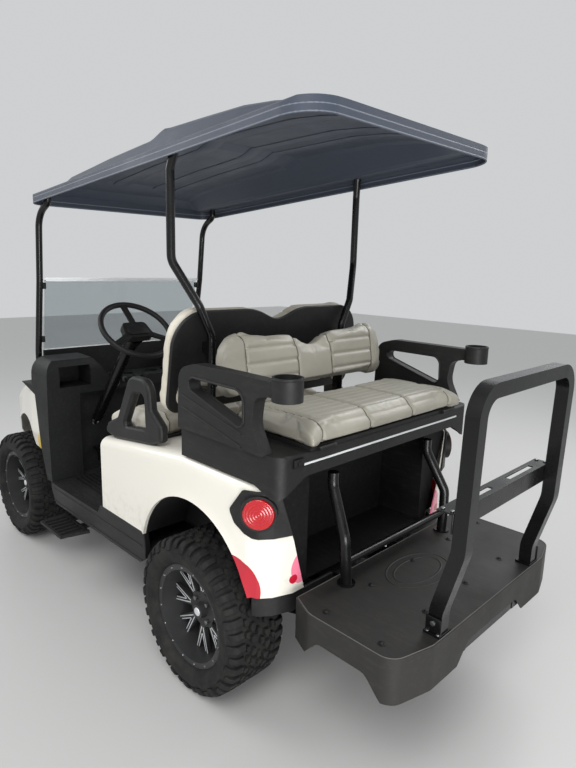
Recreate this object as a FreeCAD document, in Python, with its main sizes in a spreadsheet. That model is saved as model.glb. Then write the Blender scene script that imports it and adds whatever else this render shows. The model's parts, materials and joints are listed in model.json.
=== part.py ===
import FreeCAD, Part
import math
import os
import Sketcher
from FreeCAD import Placement, Rotation, Vector

# Four-seat golf cart with a rear-facing flip seat, millimetres.
# +X is forward, +Y is left, +Z is up. The origin is on the floor, on the centre line, at mid-length.
# Stations called "ahead" are measured forward from the rear axle.

# Driving dimensions: (alias, value, what it is)
SIZES = (
    # Overall
    ("overall_length", 3012, "nose to the rear face of the grab bar"),
    ("rear_overhang", 912, "rear axle to the rear face of the grab bar"),
    ("wheelbase", 1700, "rear axle to front axle"),
    ("front_half_track", 484, "centre line to the middle of a front tyre"),
    ("rear_half_track", 519, "centre line to the middle of a rear tyre"),
    ("seat_gap", 0.3, "clearance between pieces that only rest on or lie beside each other"),
    ("bore_gap", 0.05, "radial running clearance of pins and spindles"),
    # Tyres and rims
    ("tyre_radius", 292, "23 inch all-terrain tyre"),
    ("tyre_width", 250, "widest point of the tyre"),
    ("tyre_shoulder", 24, "drop of the shoulder below the tread"),
    ("tread_width", 206, "flat width across the tread lugs"),
    ("lug_count", 15, "lugs round each edge of the tread"),
    ("lug_groove", 26, "width of the grooves between shoulder lugs"),
    ("lug_deep", 12, "depth of the tread grooves"),
    ("lug_skew", 24, "slant of the grooves across the tread, degrees"),
    ("centre_rib", 36, "half width of the band between the shoulder lugs"),
    ("tyre_sides", 30, "flat facets round a tyre, two to a lug"),
    ("bead_radius", 178, "14 inch bead seat"),
    ("bead_width", 182, "width between the rim flanges"),
    ("flange_radius", 192, "rim flange, outside"),
    ("flange_thick", 6, "rim flange thickness"),
    ("barrel_wall", 7, "rim barrel wall"),
    ("disc_low", 18, "inner face of the spoke disc, outward from the wheel centre"),
    ("disc_thick", 14, "spoke disc thickness"),
    ("hub_radius", 42, "hub tube round the spindle"),
    ("hub_low", -12, "inner end of the hub tube"),
    ("hub_plate_radius", 66, "plate that carries the spokes"),
    ("cap_radius", 30, "centre cap"),
    ("cap_rise", 24, "height of the centre cap above the spoke disc"),
    ("cap_wall", 6, "thickness of the cap in front of the spindle"),
    ("spoke_count", 8, "split spokes on each rim"),
    ("spoke_root", 9, "half width of a spoke at the hub"),
    ("spoke_fork", 96, "radius where a spoke splits"),
    ("spoke_tip_inner", 20, "inner edge of each spoke leg at the barrel"),
    ("spoke_tip_outer", 35, "outer edge of each spoke leg at the barrel"),
    ("spindle_radius", 15, "wheel spindle"),
    # Ladder frame
    ("rail_height", 335, "underside of the ladder frame rails"),
    ("rail_size", 50, "square section of the rails"),
    ("rail_middle", 190, "centre line to the middle of a rail"),
    ("rail_front", 1995, "front end of the rails, ahead"),
    ("rail_rear", -400, "rear end of the rails, ahead"),
    ("cross_size", 40, "width of a cross member"),
    ("post_middle", 330, "centre line to the middle of a seat post"),
    ("post_size", 30, "square section of the seat posts"),
    ("post_front", 645, "front seat posts, ahead"),
    ("post_rear", 115, "rear seat posts, ahead"),
    # Axles and springs
    ("axle_tube_radius", 32, "rear axle tube"),
    ("axle_tube_reach", 480, "centre line to the end of the rear axle tube"),
    ("gear_case_radius", 92, "differential case"),
    ("gear_case_half", 62, "half width of the differential case"),
    ("motor_radius", 76, "traction motor"),
    ("motor_back", -158, "motor axis, ahead"),
    ("motor_height", 300, "motor axis above the floor"),
    ("motor_end", 155, "left end of the motor"),
    ("beam_low", 262, "underside of the front beam"),
    ("beam_high", 312, "top of the front beam"),
    ("beam_half_depth", 25, "half depth of the front beam"),
    ("kingpin_middle", 400, "centre line to a kingpin"),
    ("kingpin_radius", 10, "kingpin"),
    ("knuckle_radius", 24, "steering knuckle barrel"),
    ("knuckle_half", 40, "half height of the knuckle barrel"),
    ("yoke_thick", 14, "plates of the beam's yoke"),
    ("yoke_radius", 30, "rounded end of the yoke plates"),
    ("yoke_web", 18, "half depth of the yoke web"),
    ("steer_arm", 125, "steering arm, kingpin to tie rod eye"),
    ("steer_arm_thick", 10, "steering arm thickness"),
    ("steer_arm_half", 8, "half width of the steering arm"),
    ("tie_rod_radius", 9, "tie rod"),
    ("tie_eye_radius", 12, "tie rod eye"),
    ("tie_eye_half", 10, "half thickness of a tie rod eye"),
    ("rack_half", 120, "half length of the rack housing"),
    ("rack_wall", 9, "rack housing wall"),
    ("leaf_low", 236, "underside of the leaf springs at the axles"),
    ("leaf_eye_radius", 16, "leaf spring eye"),
    ("leaf_flat", 60, "half length of the flat middle of a leaf spring"),
    ("leaf_width", 50, "width of a leaf spring"),
    ("rear_leaf_half", 330, "half length of a rear leaf spring"),
    ("rear_leaf_middle", 290, "centre line to a rear leaf spring"),
    ("front_leaf_half", 270, "half length of a front leaf spring"),
    # Battery
    ("battery_rear", 150, "rear face of the battery block, ahead"),
    ("battery_front", 600, "front face of the battery block, ahead"),
    ("battery_half", 300, "half width of the battery block"),
    ("battery_tall", 290, "height of the battery block"),
    # Floor and sills
    ("floor_rear", 345, "rear end of the floor, ahead"),
    ("floor_front", 1235, "front end of the sills, ahead"),
    ("floor_toe", 1300, "front end of the floor under the dash, ahead"),
    ("floor_half", 555, "half width of the floor"),
    ("floor_top_rear", 400, "floor height at its rear end"),
    ("floor_top_front", 437, "floor height at its front end"),
    ("floor_skin", 6, "floor wall"),
    ("sill_low", 336, "underside of the sill"),
    ("sill_out", 580, "outer face of the sill"),
    ("sill_step", 720, "where the sill steps up under the body, ahead"),
    ("body_low", 480, "lower edge of the rear body"),
    # Side steps
    ("step_rear", 925, "rear end of a side step, ahead"),
    ("step_front", 1195, "front end of a side step, ahead"),
    ("step_out", 668, "outer edge of a side step"),
    ("step_in", 535, "inner edge of a side step"),
    ("step_top", 272, "top of a side step"),
    ("step_thick", 14, "thickness of a side step"),
    ("step_bar", 12, "bar between two slots of a side step"),
    # Rear body shell
    ("body_wall", 5, "body shell wall"),
    ("deck_height", 876, "flat deck under the rear seat"),
    ("deck_bend", 93, "where the deck starts to fall towards the front seat, ahead"),
    ("deck_front_height", 800, "deck at the front edge"),
    ("body_front", 700, "front face of the rear body, ahead"),
    ("body_half", 582, "half width of the rear body"),
    ("arch_radius", 325, "rear wheel arch"),
    ("arch_ahead", 30, "centre of the rear wheel arch, ahead"),
    ("arch_height", 400, "centre of the rear wheel arch above the floor"),
    ("arch_inner", 380, "inner wall of the rear wheel housing"),
    ("well_half", 358, "half width of the bag well"),
    ("mouth_top_half", 510, "half width of the opening between the rear corners, at the deck"),
    ("mouth_low_half", 395, "half width of that opening at its lower edge"),
    ("mouth_ahead", -335, "plate round the mouth of the bag well, ahead"),
    ("flare_wide", 47, "width of the soft flare round a rear wheel arch"),
    ("flare_proud", 9, "how far that flare stands out"),
    ("well_low", 481, "floor of the bag well"),
    ("well_front", -120, "front wall of the bag well, ahead"),
    ("valance_low", 412, "underside of the corner bumpers"),
    ("valance_inner", 245, "inner end of the corner bumpers"),
    # Tail lights
    ("bezel_proud", 6, "tail light bezel thickness"),
    ("lamp_radius", 52, "tail light lens"),
    ("lamp_drop", 94, "tail light centre below the deck"),
    ("lamp_proud", 26, "how far the lens stands out of the corner"),
    ("lamp_rim", 8, "bezel ring round the lens"),
    # Cowl and dash
    ("cowl_half", 575, "half width of the dash and scuttle"),
    ("cowl_back", 1250, "rear edge of the scuttle sides, ahead"),
    ("dash_low", 880, "underside of the dash"),
    ("dash_top", 1057, "top rear edge of the dash wings"),
    ("dash_middle", 935, "top of the dash between its wings"),
    ("wing_in", 330, "centre line to the inner shoulder of a dash wing"),
    ("wing_foot", 225, "centre line to the foot of a dash wing's inner slope"),
    ("wing_round", 90, "rounded outer corner of a dash wing"),
    ("foot_half", 405, "half width of the footwell between the scuttle sides"),
    ("foot_front", 1290, "front wall of the footwell, ahead"),
    ("scuttle_height", 915, "ledge that carries the windshield struts"),
    ("scuttle_front", 1560, "front edge of the ledge, ahead"),
    ("cowl_wall", 5, "scuttle wall"),
    ("nose_low", 470, "lower edge of the nose"),
    ("fender_radius", 360, "front wheel arch"),
    ("fender_height", 330, "centre of the front wheel arch above the floor"),
    ("fender_inner", 215, "inner wall of the front wheel housing"),
    ("bumper_front", 2100, "front face of the bumper, ahead"),
    ("headlight_radius", 50, "headlight lens"),
    ("headlight_height", 590, "headlight centre above the floor"),
    ("headlight_middle", 270, "centre line to a headlight"),
    # Windshield and its struts
    ("strut_radius", 16, "roof struts"),
    ("strut_half", 500, "centre line to a front strut"),
    ("glass_half", 470, "half width of the windshield"),
    ("glass_thick", 5, "windshield sheet"),
    ("glass_low", 1080, "lower edge of the windshield"),
    ("glass_fold", 1450, "fold line of the windshield"),
    ("glass_low_ahead", 1498, "lower edge of the windshield, ahead"),
    ("glass_fold_ahead", 1432, "fold line of the windshield, ahead"),
    ("glass_gap", 7, "gap between the lower and the folded upper sheet"),
    ("strut_top", 1790, "where the front struts bend under the roof"),
    ("strut_top_ahead", 1398, "front struts at that bend, ahead"),
    # Roof
    ("roof_front", 1419, "front edge of the roof, ahead"),
    ("roof_rear", -460, "rear edge of the roof, ahead"),
    ("roof_half", 538, "half width of the roof"),
    ("crown_half", 380, "half width of the roof's crown"),
    ("roof_edge_front", 1814, "lower edge of the roof at the front"),
    ("roof_edge_rear", 1966, "lower edge of the roof at the rear"),
    ("roof_rim", 46, "height of the roof's edge band"),
    ("roof_rear_round", 120, "rounded rear corners of the roof"),
    ("roof_front_round", 70, "rounded front corners of the roof"),
    ("roof_wall", 5, "roof wall"),
    # Rear struts
    ("rear_strut_ahead", 222, "rear struts, ahead"),
    ("rear_strut_bend", 1562, "height where the rear struts turn inward"),
    ("rear_strut_half", 380, "centre line to a rear strut behind the seat"),
    ("rear_strut_foot", 165, "foot of a rear strut, ahead"),
    ("rear_strut_knee", 1402, "height where the rear struts turn upright again"),
    ("seat_bracket_low", 1040, "lower bracket between a rear strut and the seat back"),
    ("seat_bracket_high", 1220, "upper bracket between a rear strut and the seat back"),
    ("seat_bracket_half", 14, "half width of a seat back bracket"),
    ("seat_bracket_tall", 40, "height of a seat back bracket"),
    # Front seat
    ("lid_hinge", 385, "front seat hinge, ahead"),
    ("lid_hinge_lift", 9, "hinge axis above the deck"),
    ("hinge_radius", 7, "hinge barrels"),
    ("hinge_pin_radius", 4, "hinge pins"),
    ("lid_front", 742, "front edge of the front seat, ahead"),
    ("lid_board", 12, "front seat board"),
    ("lid_half", 500, "half width of the front seat cushion"),
    ("cushion_thick", 92, "seat cushions"),
    ("front_back_low", 985, "lower edge of the front seat back"),
    ("front_back_ahead", 325, "front face of the front seat back at its lower edge, ahead"),
    ("front_back_tall", 400, "height of the front seat back"),
    ("front_back_half", 530, "half width of the front seat back"),
    ("back_thick", 60, "thickness of the front seat back cushion"),
    ("rear_back_thick", 78, "thickness of the rear seat back cushion"),
    ("shell_thick", 15, "moulded shell behind the front seat back"),
    ("front_back_lean", 9, "lean of the front seat back, degrees"),
    ("back_dip", 55, "dip between the two humps of a seat back"),
    ("back_corner", 55, "rounded lower corners of a seat back"),
    ("back_hump", 250, "rounding of a hump"),
    ("back_valley", 120, "rounding of the dip"),
    ("back_shoulder", 140, "rounded shoulders of the front seat back"),
    ("rear_back_shoulder", 110, "rounded shoulders of the rear seat back"),
    # Hip restraints
    ("hip_rear", 262, "rear end of a hip restraint, ahead"),
    ("hip_front", 705, "front end of a hip restraint, ahead"),
    ("hip_in", 512, "inner face of a hip restraint"),
    ("hip_thick", 40, "thickness of a hip restraint"),
    ("hip_tall", 250, "height of a hip restraint above the deck"),
    # Rear seat
    ("tray_rear", -409, "rear face of the rear seat tray, ahead"),
    ("tray_front", 90, "front end of the rear seat tray, ahead"),
    ("tray_half", 573, "half width of the rear seat tray"),
    ("tray_tall", 110, "height of the rear seat tray above the deck"),
    ("tray_drop", 30, "how far the tray's rear corners reach below the deck"),
    ("tray_raise", 29, "clear height under the middle of the tray's rear face"),
    ("tray_wall", 7, "rear seat tray wall"),
    ("tray_corner", 45, "rounded corners of the tray"),
    ("tray_edge", 12, "rounding of the tray's rear top edge"),
    ("flip_hinge", -425, "rear seat hinge, ahead"),
    ("flip_hinge_lift", 4, "rear seat hinge above the tray"),
    ("flip_front", -67, "front edge of the rear seat cushion, ahead"),
    ("flip_board", 12, "rear seat board"),
    ("flip_half", 450, "half width of the rear seat cushion"),
    ("flip_overhang", 8, "cushion behind the hinge"),
    ("flip_cushion", 80, "rear seat cushion"),
    ("rear_back_low", 1092, "lower edge of the rear seat back"),
    ("rear_back_ahead", -40, "rear-facing face of the rear seat back at its lower edge, ahead"),
    ("rear_back_tall", 225, "height of the rear seat back"),
    ("rear_back_half", 460, "half width of the rear seat back"),
    ("rear_back_lean", 12, "lean of the rear seat back, degrees"),
    ("seat_tube", 26, "square tube of the rear seat frame"),
    ("seat_tube_middle", 250, "centre line to an upright of the rear seat frame"),
    # Armrests
    ("arm_in", 548, "inner face of an armrest"),
    ("arm_thick", 46, "armrest thickness"),
    ("arm_top", 1225, "top of an armrest"),
    ("cup_ahead", -430, "cup holder, ahead"),
    ("cup_radius", 47, "cup holder, outside"),
    ("cup_wall", 6, "cup holder wall"),
    ("cup_top", 1240, "top of a cup holder"),
    ("cup_deep", 72, "height of a cup holder"),
    # Foot deck, its frame and the posts
    ("deck_top", 507, "top of the foot deck"),
    ("deck_front", -420, "front edge of the foot deck, ahead"),
    ("deck_half", 530, "half width of the foot deck"),
    ("deck_skin", 6, "foot deck wall"),
    ("deck_rear", -860, "rear edge of the foot deck, ahead"),
    ("deck_skirt", 362, "lower edge of the foot deck skirt at its corners"),
    ("deck_arch", 424, "height of the arches in the skirt"),
    ("foot_post_ahead", -476, "front posts of the foot deck, ahead"),
    ("foot_post_middle", 305, "centre line to a front post of the foot deck"),
    ("post_round", 19, "radius of the front posts of the foot deck"),
    # Grab bar
    ("bar_section", 44, "square tube of the grab bar"),
    ("bar_half", 310, "centre line to a leg of the grab bar"),
    ("bar_foot", -829, "foot of the grab bar, ahead"),
    ("bar_knee", 580, "height where a leg starts to lean back"),
    ("bar_bend", 780, "height where a leg turns upright again"),
    ("bar_bend_ahead", -882, "a leg at that height, ahead"),
    ("bar_top", 1262, "top of the grab bar"),
    ("bar_top_ahead", -890, "top of the grab bar, ahead"),
    ("ledge_top", 893, "top of the grab bar's ledge"),
    ("ledge_out", 54, "how far the ledge stands out towards the seat"),
    ("ledge_tall", 60, "height of the ledge's face"),
    # Steering
    ("wheel_ahead", 840, "steering wheel centre, ahead"),
    ("wheel_side", 300, "centre line to the steering wheel"),
    ("wheel_height", 1240, "steering wheel centre above the floor"),
    ("wheel_radius", 168, "steering wheel, to the middle of its rim"),
    ("wheel_grip", 13, "steering wheel rim section radius"),
    ("column_tilt", 50, "steering column above the horizontal, degrees"),
    ("column_radius", 27, "steering column tube"),
    ("shaft_radius", 9, "steering shaft"),
    ("shroud_radius", 46, "wide end of the column's shroud under the wheel"),
    ("pad_wide", 150, "width of the steering wheel's pad"),
    ("pad_tall", 92, "height of the pad"),
    # Pedals
    ("pedal_ahead", 1180, "pedal faces, ahead"),
    ("pedal_height", 560, "pedal centres above the floor"),
    ("pedal_wide", 70, "pedal width"),
    ("pedal_tall", 85, "pedal height"),
    ("pedal_thick", 14, "pedal thickness"),
)

doc = FreeCAD.newDocument("golf_cart")
sheet = doc.addObject("Spreadsheet::Sheet", "sizes")
for row, (alias, value, meaning) in enumerate(SIZES, start=1):
    sheet.set(f"A{row}", meaning)
    sheet.set(f"B{row}", str(value))
    sheet.setAlias(f"B{row}", alias)
doc.recompute()


class Size:
    """A number worked out from the sheet, with the expression that binds a property to it."""

    def __init__(self, value, text):
        self.value = float(value)
        self.text = text

    def __float__(self):
        return self.value

    def __add__(self, other):
        other = sized(other)
        return Size(self.value + other.value, f"({self.text} + {other.text})")

    def __sub__(self, other):
        other = sized(other)
        return Size(self.value - other.value, f"({self.text} - {other.text})")

    def __mul__(self, other):
        other = sized(other)
        return Size(self.value * other.value, f"({self.text} * {other.text})")

    def __truediv__(self, other):
        other = sized(other)
        return Size(self.value / other.value, f"({self.text} / {other.text})")

    def __radd__(self, other):
        return sized(other) + self

    def __rsub__(self, other):
        return sized(other) - self

    def __rmul__(self, other):
        return sized(other) * self

    def __neg__(self):
        return Size(-self.value, f"(-1 * {self.text})")


def sized(number):
    """Return a Size for a Size or a plain number."""
    return number if isinstance(number, Size) else Size(number, repr(float(number)))


class SizeBook:
    """Gives each alias of the sheet as a Size: book.wheelbase."""

    def __getattr__(self, alias):
        return Size(sheet.get(alias), f"sizes.{alias}")


D = SizeBook()
rear_axle = D.rear_overhang - D.overall_length / 2
front_axle = rear_axle + D.wheelbase


def ahead(station):
    """X of a station that is measured forward from the rear axle."""
    return rear_axle + station


def cosine(angle):
    return Size(math.cos(math.radians(float(angle))), f"cos({angle.text})")


def sine(angle):
    return Size(math.sin(math.radians(float(angle))), f"sin({angle.text})")


# Document objects bound to the sheet

TURNS = {
    "x": Rotation(Vector(0, 1, 0), 90),
    "y": Rotation(Vector(1, 0, 0), -90),
    "z": Rotation(),
}


def bind(item, prop, size):
    item.setExpression(prop, sized(size).text)


def place(item, x, y, z, turn=None):
    """Put an object at x, y, z, bound to the sheet, with an optional rotation."""
    item.Placement = Placement(Vector(float(x), float(y), float(z)), turn or Rotation())
    for axis, size in zip("xyz", (x, y, z)):
        bind(item, f"Placement.Base.{axis}", size)
    return item


def box(name, x, y, z):
    """A block between the low and high ends of x, y and z."""
    item = doc.addObject("Part::Box", name)
    for prop, (low, high) in zip(("Length", "Width", "Height"), (x, y, z)):
        bind(item, prop, sized(high) - low)
    return place(item, x[0], y[0], z[0])


def rod(name, axis, centre, radius, low, high):
    """A cylinder along an axis from low to high; centre holds the two other coordinates."""
    item = doc.addObject("Part::Cylinder", name)
    bind(item, "Radius", radius)
    bind(item, "Height", sized(high) - low)
    base = list(centre)
    base.insert("xyz".index(axis), low)
    return place(item, *base, turn=TURNS[axis])


def cut(name, base, *tools):
    """Take the tools out of the base, one after another."""
    for number, tool in enumerate(tools, start=1):
        item = doc.addObject("Part::Cut", f"{name}_cut_{number}")
        item.Base = base
        item.Tool = tool
        base = item
    return base


def common(name, base, tool):
    """The space that two objects share."""
    item = doc.addObject("Part::Common", f"{name}_common")
    item.Base = base
    item.Tool = tool
    return item


def fuse(name, *parts):
    item = doc.addObject("Part::MultiFuse", f"{name}_joined")
    item.Shapes = list(parts)
    item.Refine = True
    return item


def mirrored(name, source):
    """The right-hand copy of a left-hand object."""
    item = doc.addObject("Part::Mirroring", name)
    item.Source = source
    item.Normal = Vector(0, 1, 0)
    return item


def origin_plane(body, role):
    return next(plane for plane in body.Origin.OriginFeatures if plane.Role == role)


def outline_sketch(body, name, role, offset, corners):
    """A closed outline of straight edges whose corners are bound to the sheet."""
    sketch = body.newObject("Sketcher::SketchObject", name)
    sketch.AttachmentSupport = [(origin_plane(body, role), "")]
    sketch.MapMode = "FlatFace"
    bind(sketch, ".AttachmentOffset.Base.z", offset)
    points = [Vector(float(corner[0]), float(corner[1]), 0) for corner in corners]
    for start, end in zip(points, points[1:] + points[:1]):
        sketch.addGeometry(Part.LineSegment(start, end))
    count = len(points)
    for index in range(count):
        sketch.addConstraint(Sketcher.Constraint("Coincident", index, 2, (index + 1) % count, 1))
    for index, corner in enumerate(corners):
        for kind, size in zip(("DistanceX", "DistanceY"), corner):
            size = sized(size)
            number = sketch.addConstraint(Sketcher.Constraint(kind, -1, 1, index, 1, size.value))
            sketch.setExpression(f"Constraints[{number}]", size.text)
    return sketch


# Which sketch plane a profile lies on, and which way its pad grows
PLANES = {"xy": ("XY_Plane", 1), "xz": ("XZ_Plane", -1), "yz": ("YZ_Plane", 1)}


def flat_point(plane, vertex):
    return {"xy": (vertex.X, vertex.Y), "xz": (vertex.X, vertex.Z), "yz": (vertex.Y, vertex.Z)}[plane]


def profile(name, plane, corners, low, high):
    """A body padded from low to high across a plane.

    Each corner is (u, v) or (u, v, radius); corners with a radius are rounded by fillets.
    """
    role, direction = PLANES[plane]
    low, high = sized(low), sized(high)
    body = doc.addObject("PartDesign::Body", name)
    sketch = outline_sketch(body, f"{name}_outline", role, low if direction > 0 else -high, corners)
    pad = body.newObject("PartDesign::Pad", f"{name}_pad")
    pad.Profile = sketch
    bind(pad, "Length", high - low)
    doc.recompute()
    groups = {}
    for corner in corners:
        if len(corner) == 3:
            radius = sized(corner[2])
            groups.setdefault(radius.text, (radius, []))[1].append(corner)
    base = pad
    for number, (radius, members) in enumerate(groups.values(), start=1):
        edges = []
        for index, edge in enumerate(base.Shape.Edges, start=1):
            if len(edge.Vertexes) != 2:
                continue
            ends = [flat_point(plane, vertex) for vertex in edge.Vertexes]
            for u, v, _ in members:
                if all(math.hypot(end[0] - float(u), end[1] - float(v)) < 0.01 for end in ends):
                    edges.append(f"Edge{index}")
        fillet = body.newObject("PartDesign::Fillet", f"{name}_round_{number}")
        fillet.Base = (base, edges)
        bind(fillet, "Radius", radius)
        doc.recompute()
        base = fillet
    return body


def revolved(name, corners, radius_axis="H_Axis"):
    """A body turned about the Y axis; corners are (y, radius)."""
    body = doc.addObject("PartDesign::Body", name)
    sketch = outline_sketch(body, f"{name}_section", "YZ_Plane", 0, corners)
    turn = body.newObject("PartDesign::Revolution", f"{name}_turn")
    turn.Profile = sketch
    turn.ReferenceAxis = (sketch, [radius_axis])
    turn.Angle = 360
    doc.recompute()
    return body


# Shapes made with Part's own functions, where no feature fits

def shape_object(name, shape):
    item = doc.addObject("Part::Feature", name)
    item.Shape = shape
    item.Placement = Placement()
    return item


def rounded_wire(points, radius):
    """A closed wire through the points with its listed corners rounded.

    Each point is (Vector, rounded): corners that are not rounded stay sharp.
    """
    edges = []
    count = len(points)
    starts = []
    ends = []
    for index in range(count):
        corner, is_round = points[index]
        if not is_round or radius <= 0:
            starts.append(corner)
            ends.append(corner)
            continue
        before = points[index - 1][0]
        after = points[(index + 1) % count][0]
        towards_before = (before - corner).normalize()
        towards_after = (after - corner).normalize()
        half_angle = towards_before.getAngle(towards_after) / 2
        setback = radius / math.tan(half_angle)
        starts.append(corner + towards_before * setback)
        ends.append(corner + towards_after * setback)
        middle_way = (towards_before + towards_after).normalize()
        middle = corner + middle_way * (radius / math.sin(half_angle) - radius)
        edges.append((index, Part.Arc(starts[-1], middle, ends[-1]).toShape()))
    arcs = dict(edges)
    ordered = []
    for index in range(count):
        if index in arcs:
            ordered.append(arcs[index])
        ordered.append(Part.LineSegment(ends[index], starts[(index + 1) % count]).toShape())
    return Part.Wire(ordered)


def arched_section(x, half_width, low, top, corner):
    """A section across the body: flat top with rounded upper corners, open sides straight down."""
    points = [
        (Vector(x, -half_width, low), False),
        (Vector(x, -half_width, top), True),
        (Vector(x, half_width, top), True),
        (Vector(x, half_width, low), False),
    ]
    return rounded_wire(points, corner)


def arched_loft(stations, low, inset=0.0):
    """A ruled loft through stations of (x, half width, top, corner radius)."""
    wires = []
    last = len(stations) - 1
    for index, (x, half_width, top, corner) in enumerate(stations):
        shift = inset if index == last else -inset if index == 0 else 0.0
        wires.append(arched_section(x + shift, half_width - inset, low, top - inset,
                                    max(corner - inset, 1.0)))
    return Part.makeLoft(wires, True, True)


def tube_path(points, radii):
    """A wire through the points whose inner corners are arcs of the given radii."""
    edges = []
    start = points[0]
    for index in range(1, len(points) - 1):
        before, corner, after = points[index - 1], points[index], points[index + 1]
        back = (before - corner).normalize()
        on = (after - corner).normalize()
        half_angle = back.getAngle(on) / 2
        radius = radii[index - 1]
        setback = radius / math.tan(half_angle)
        first = corner + back * setback
        second = corner + on * setback
        middle = corner + (back + on).normalize() * (radius / math.sin(half_angle) - radius)
        edges.append(Part.LineSegment(start, first).toShape())
        edges.append(Part.Arc(first, middle, second).toShape())
        start = second
    edges.append(Part.LineSegment(start, points[-1]).toShape())
    return Part.Wire(edges)


def round_tube(points, radii, radius):
    """A solid of round section along a bent path."""
    path = tube_path(points, radii)
    section = Part.Wire(Part.Circle(points[0], points[1] - points[0], radius).toShape())
    return path.makePipeShell([section], True, False)


def square_tube(points, radii, size, side):
    """A solid of square section along a bent path; side is a direction across the path."""
    path = tube_path(points, radii)
    along = (points[1] - points[0]).normalize()
    across = side - along * side.dot(along)
    across.normalize()
    other = along.cross(across)
    half = size / 2
    corners = [points[0] + across * (half * a) + other * (half * b)
               for a, b in ((-1, -1), (1, -1), (1, 1), (-1, 1))]
    section = Part.makePolygon(corners + corners[:1])
    return path.makePipeShell([section], True, False)


def spot(x, y, z):
    """A point with its x measured ahead of the rear axle."""
    return Vector(float(ahead(x)), float(y), float(z))


nodes = {}


def node(name, item):
    """Name an object as a sub-part; its file is parts/NAME.step."""
    item.Label = name
    nodes[name] = item
    return item


SIDES = (("left", 1), ("right", -1))


def both_sides(name, left_item):
    """Label a left-hand object and its mirror image as two sub-parts."""
    node(f"{name}_left", left_item)
    node(f"{name}_right", mirrored(f"{name}_right_copy", left_item))


# Ladder frame

rail_top = D.rail_height + D.rail_size
half_rail = D.rail_size / 2
half_cross = D.cross_size / 2
half_post = D.post_size / 2


def deck_level(station):
    """Height of the body's deck: flat at the back, falling towards the front seat."""
    fall = (D.deck_height - D.deck_front_height) / (D.body_front - D.deck_bend)
    return D.deck_height - fall * (station - D.deck_bend)


# Cross members: (station ahead, half length)
CROSS_MEMBERS = (
    (D.floor_front - 100, D.floor_half),
    (D.wheelbase + D.front_leaf_half, D.rail_middle + D.leaf_width / 2),
    (D.wheelbase - D.front_leaf_half, D.rail_middle + D.leaf_width / 2),
    (D.post_front, D.floor_half),
    (D.rear_leaf_half, D.rear_leaf_middle + D.leaf_width / 2),
    (D.post_rear, D.post_middle + half_post),
    (-D.rear_leaf_half, D.rear_leaf_middle + D.leaf_width / 2),
)
frame_pieces = []
for side, sign in SIDES:
    middle = D.rail_middle * sign
    frame_pieces.append(box(f"rail_{side}", (ahead(D.rail_rear), ahead(D.rail_front)),
                            (middle - half_rail, middle + half_rail), (D.rail_height, rail_top)))
    for label, station, top in (
            ("front", D.post_front, deck_level(D.post_front + half_post) - D.body_wall - D.seat_gap),
            ("rear", D.post_rear, deck_level(D.post_rear + half_post) - D.body_wall - D.seat_gap)):
        centre = D.post_middle * sign
        frame_pieces.append(box(f"post_{label}_{side}",
                                (ahead(station - half_post), ahead(station + half_post)),
                                (centre - half_post, centre + half_post), (D.rail_height, top)))
for number, (station, reach) in enumerate(CROSS_MEMBERS, start=1):
    frame_pieces.append(box(f"cross_{number}", (ahead(station - half_cross), ahead(station + half_cross)),
                            (-reach, reach), (D.rail_height, rail_top)))
node("frame", fuse("frame", *frame_pieces))

# Battery pack, one plain block on the rails
node("battery_pack", box("battery", (ahead(D.battery_rear), ahead(D.battery_front)),
                         (-D.battery_half, D.battery_half),
                         (rail_top + D.seat_gap, rail_top + D.battery_tall)))

# Rear axle with its gear case and motor

wheel_height = D.tyre_radius
spindle_reach = D.disc_low + D.disc_thick + D.cap_rise - D.cap_wall - D.seat_gap
motor_end_right = -D.gear_case_half + 10
node("rear_axle", fuse(
    "rear_axle",
    rod("axle_tube", "y", (ahead(0), wheel_height), D.axle_tube_radius,
        -D.axle_tube_reach, D.axle_tube_reach),
    rod("axle_spindle", "y", (ahead(0), wheel_height), D.spindle_radius,
        -(D.rear_half_track + spindle_reach), D.rear_half_track + spindle_reach),
    rod("gear_case", "y", (ahead(0), wheel_height), D.gear_case_radius,
        -D.gear_case_half, D.gear_case_half),
    rod("motor", "y", (ahead(D.motor_back), D.motor_height), D.motor_radius,
        motor_end_right, D.motor_end)))


# Leaf springs: eyes under the frame, flat under the axle

def leaf_spring(name, station, middle, half_length, under):
    """One leaf pack along X, its flat seat under an axle at the height called under."""
    eye = D.rail_height - D.seat_gap - D.leaf_eye_radius
    top_flat = sized(under)
    corners = (
        (ahead(station - half_length), eye - D.leaf_eye_radius / 2),
        (ahead(station - D.leaf_flat), D.leaf_low),
        (ahead(station + D.leaf_flat), D.leaf_low),
        (ahead(station + half_length), eye - D.leaf_eye_radius / 2),
        (ahead(station + half_length), eye + D.leaf_eye_radius / 2),
        (ahead(station + D.leaf_flat), top_flat),
        (ahead(station - D.leaf_flat), top_flat),
        (ahead(station - half_length), eye + D.leaf_eye_radius / 2),
    )
    low = middle - D.leaf_width / 2
    high = middle + D.leaf_width / 2
    blade = profile(f"{name}_blade", "xz", corners, low, high)
    eyes = [rod(f"{name}_eye_{end}", "y", (ahead(station + half_length * sign), eye),
                D.leaf_eye_radius, low, high) for end, sign in (("front", 1), ("rear", -1))]
    return fuse(name, blade, *eyes)


rear_leaves = [leaf_spring(f"rear_leaf_{side}", 0, D.rear_leaf_middle * sign, D.rear_leaf_half,
                           wheel_height - D.axle_tube_radius - D.seat_gap) for side, sign in SIDES]
front_leaves = [leaf_spring(f"front_leaf_{side}", D.wheelbase, D.rail_middle * sign, D.front_leaf_half,
                            D.beam_low - D.seat_gap) for side, sign in SIDES]
rear_springs = doc.addObject("Part::Compound", "rear_springs_set")
rear_springs.Links = rear_leaves
node("rear_springs", rear_springs)
front_springs = doc.addObject("Part::Compound", "front_springs_set")
front_springs.Links = front_leaves
node("front_springs", front_springs)

# Front beam with its yokes and the rack housing

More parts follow.
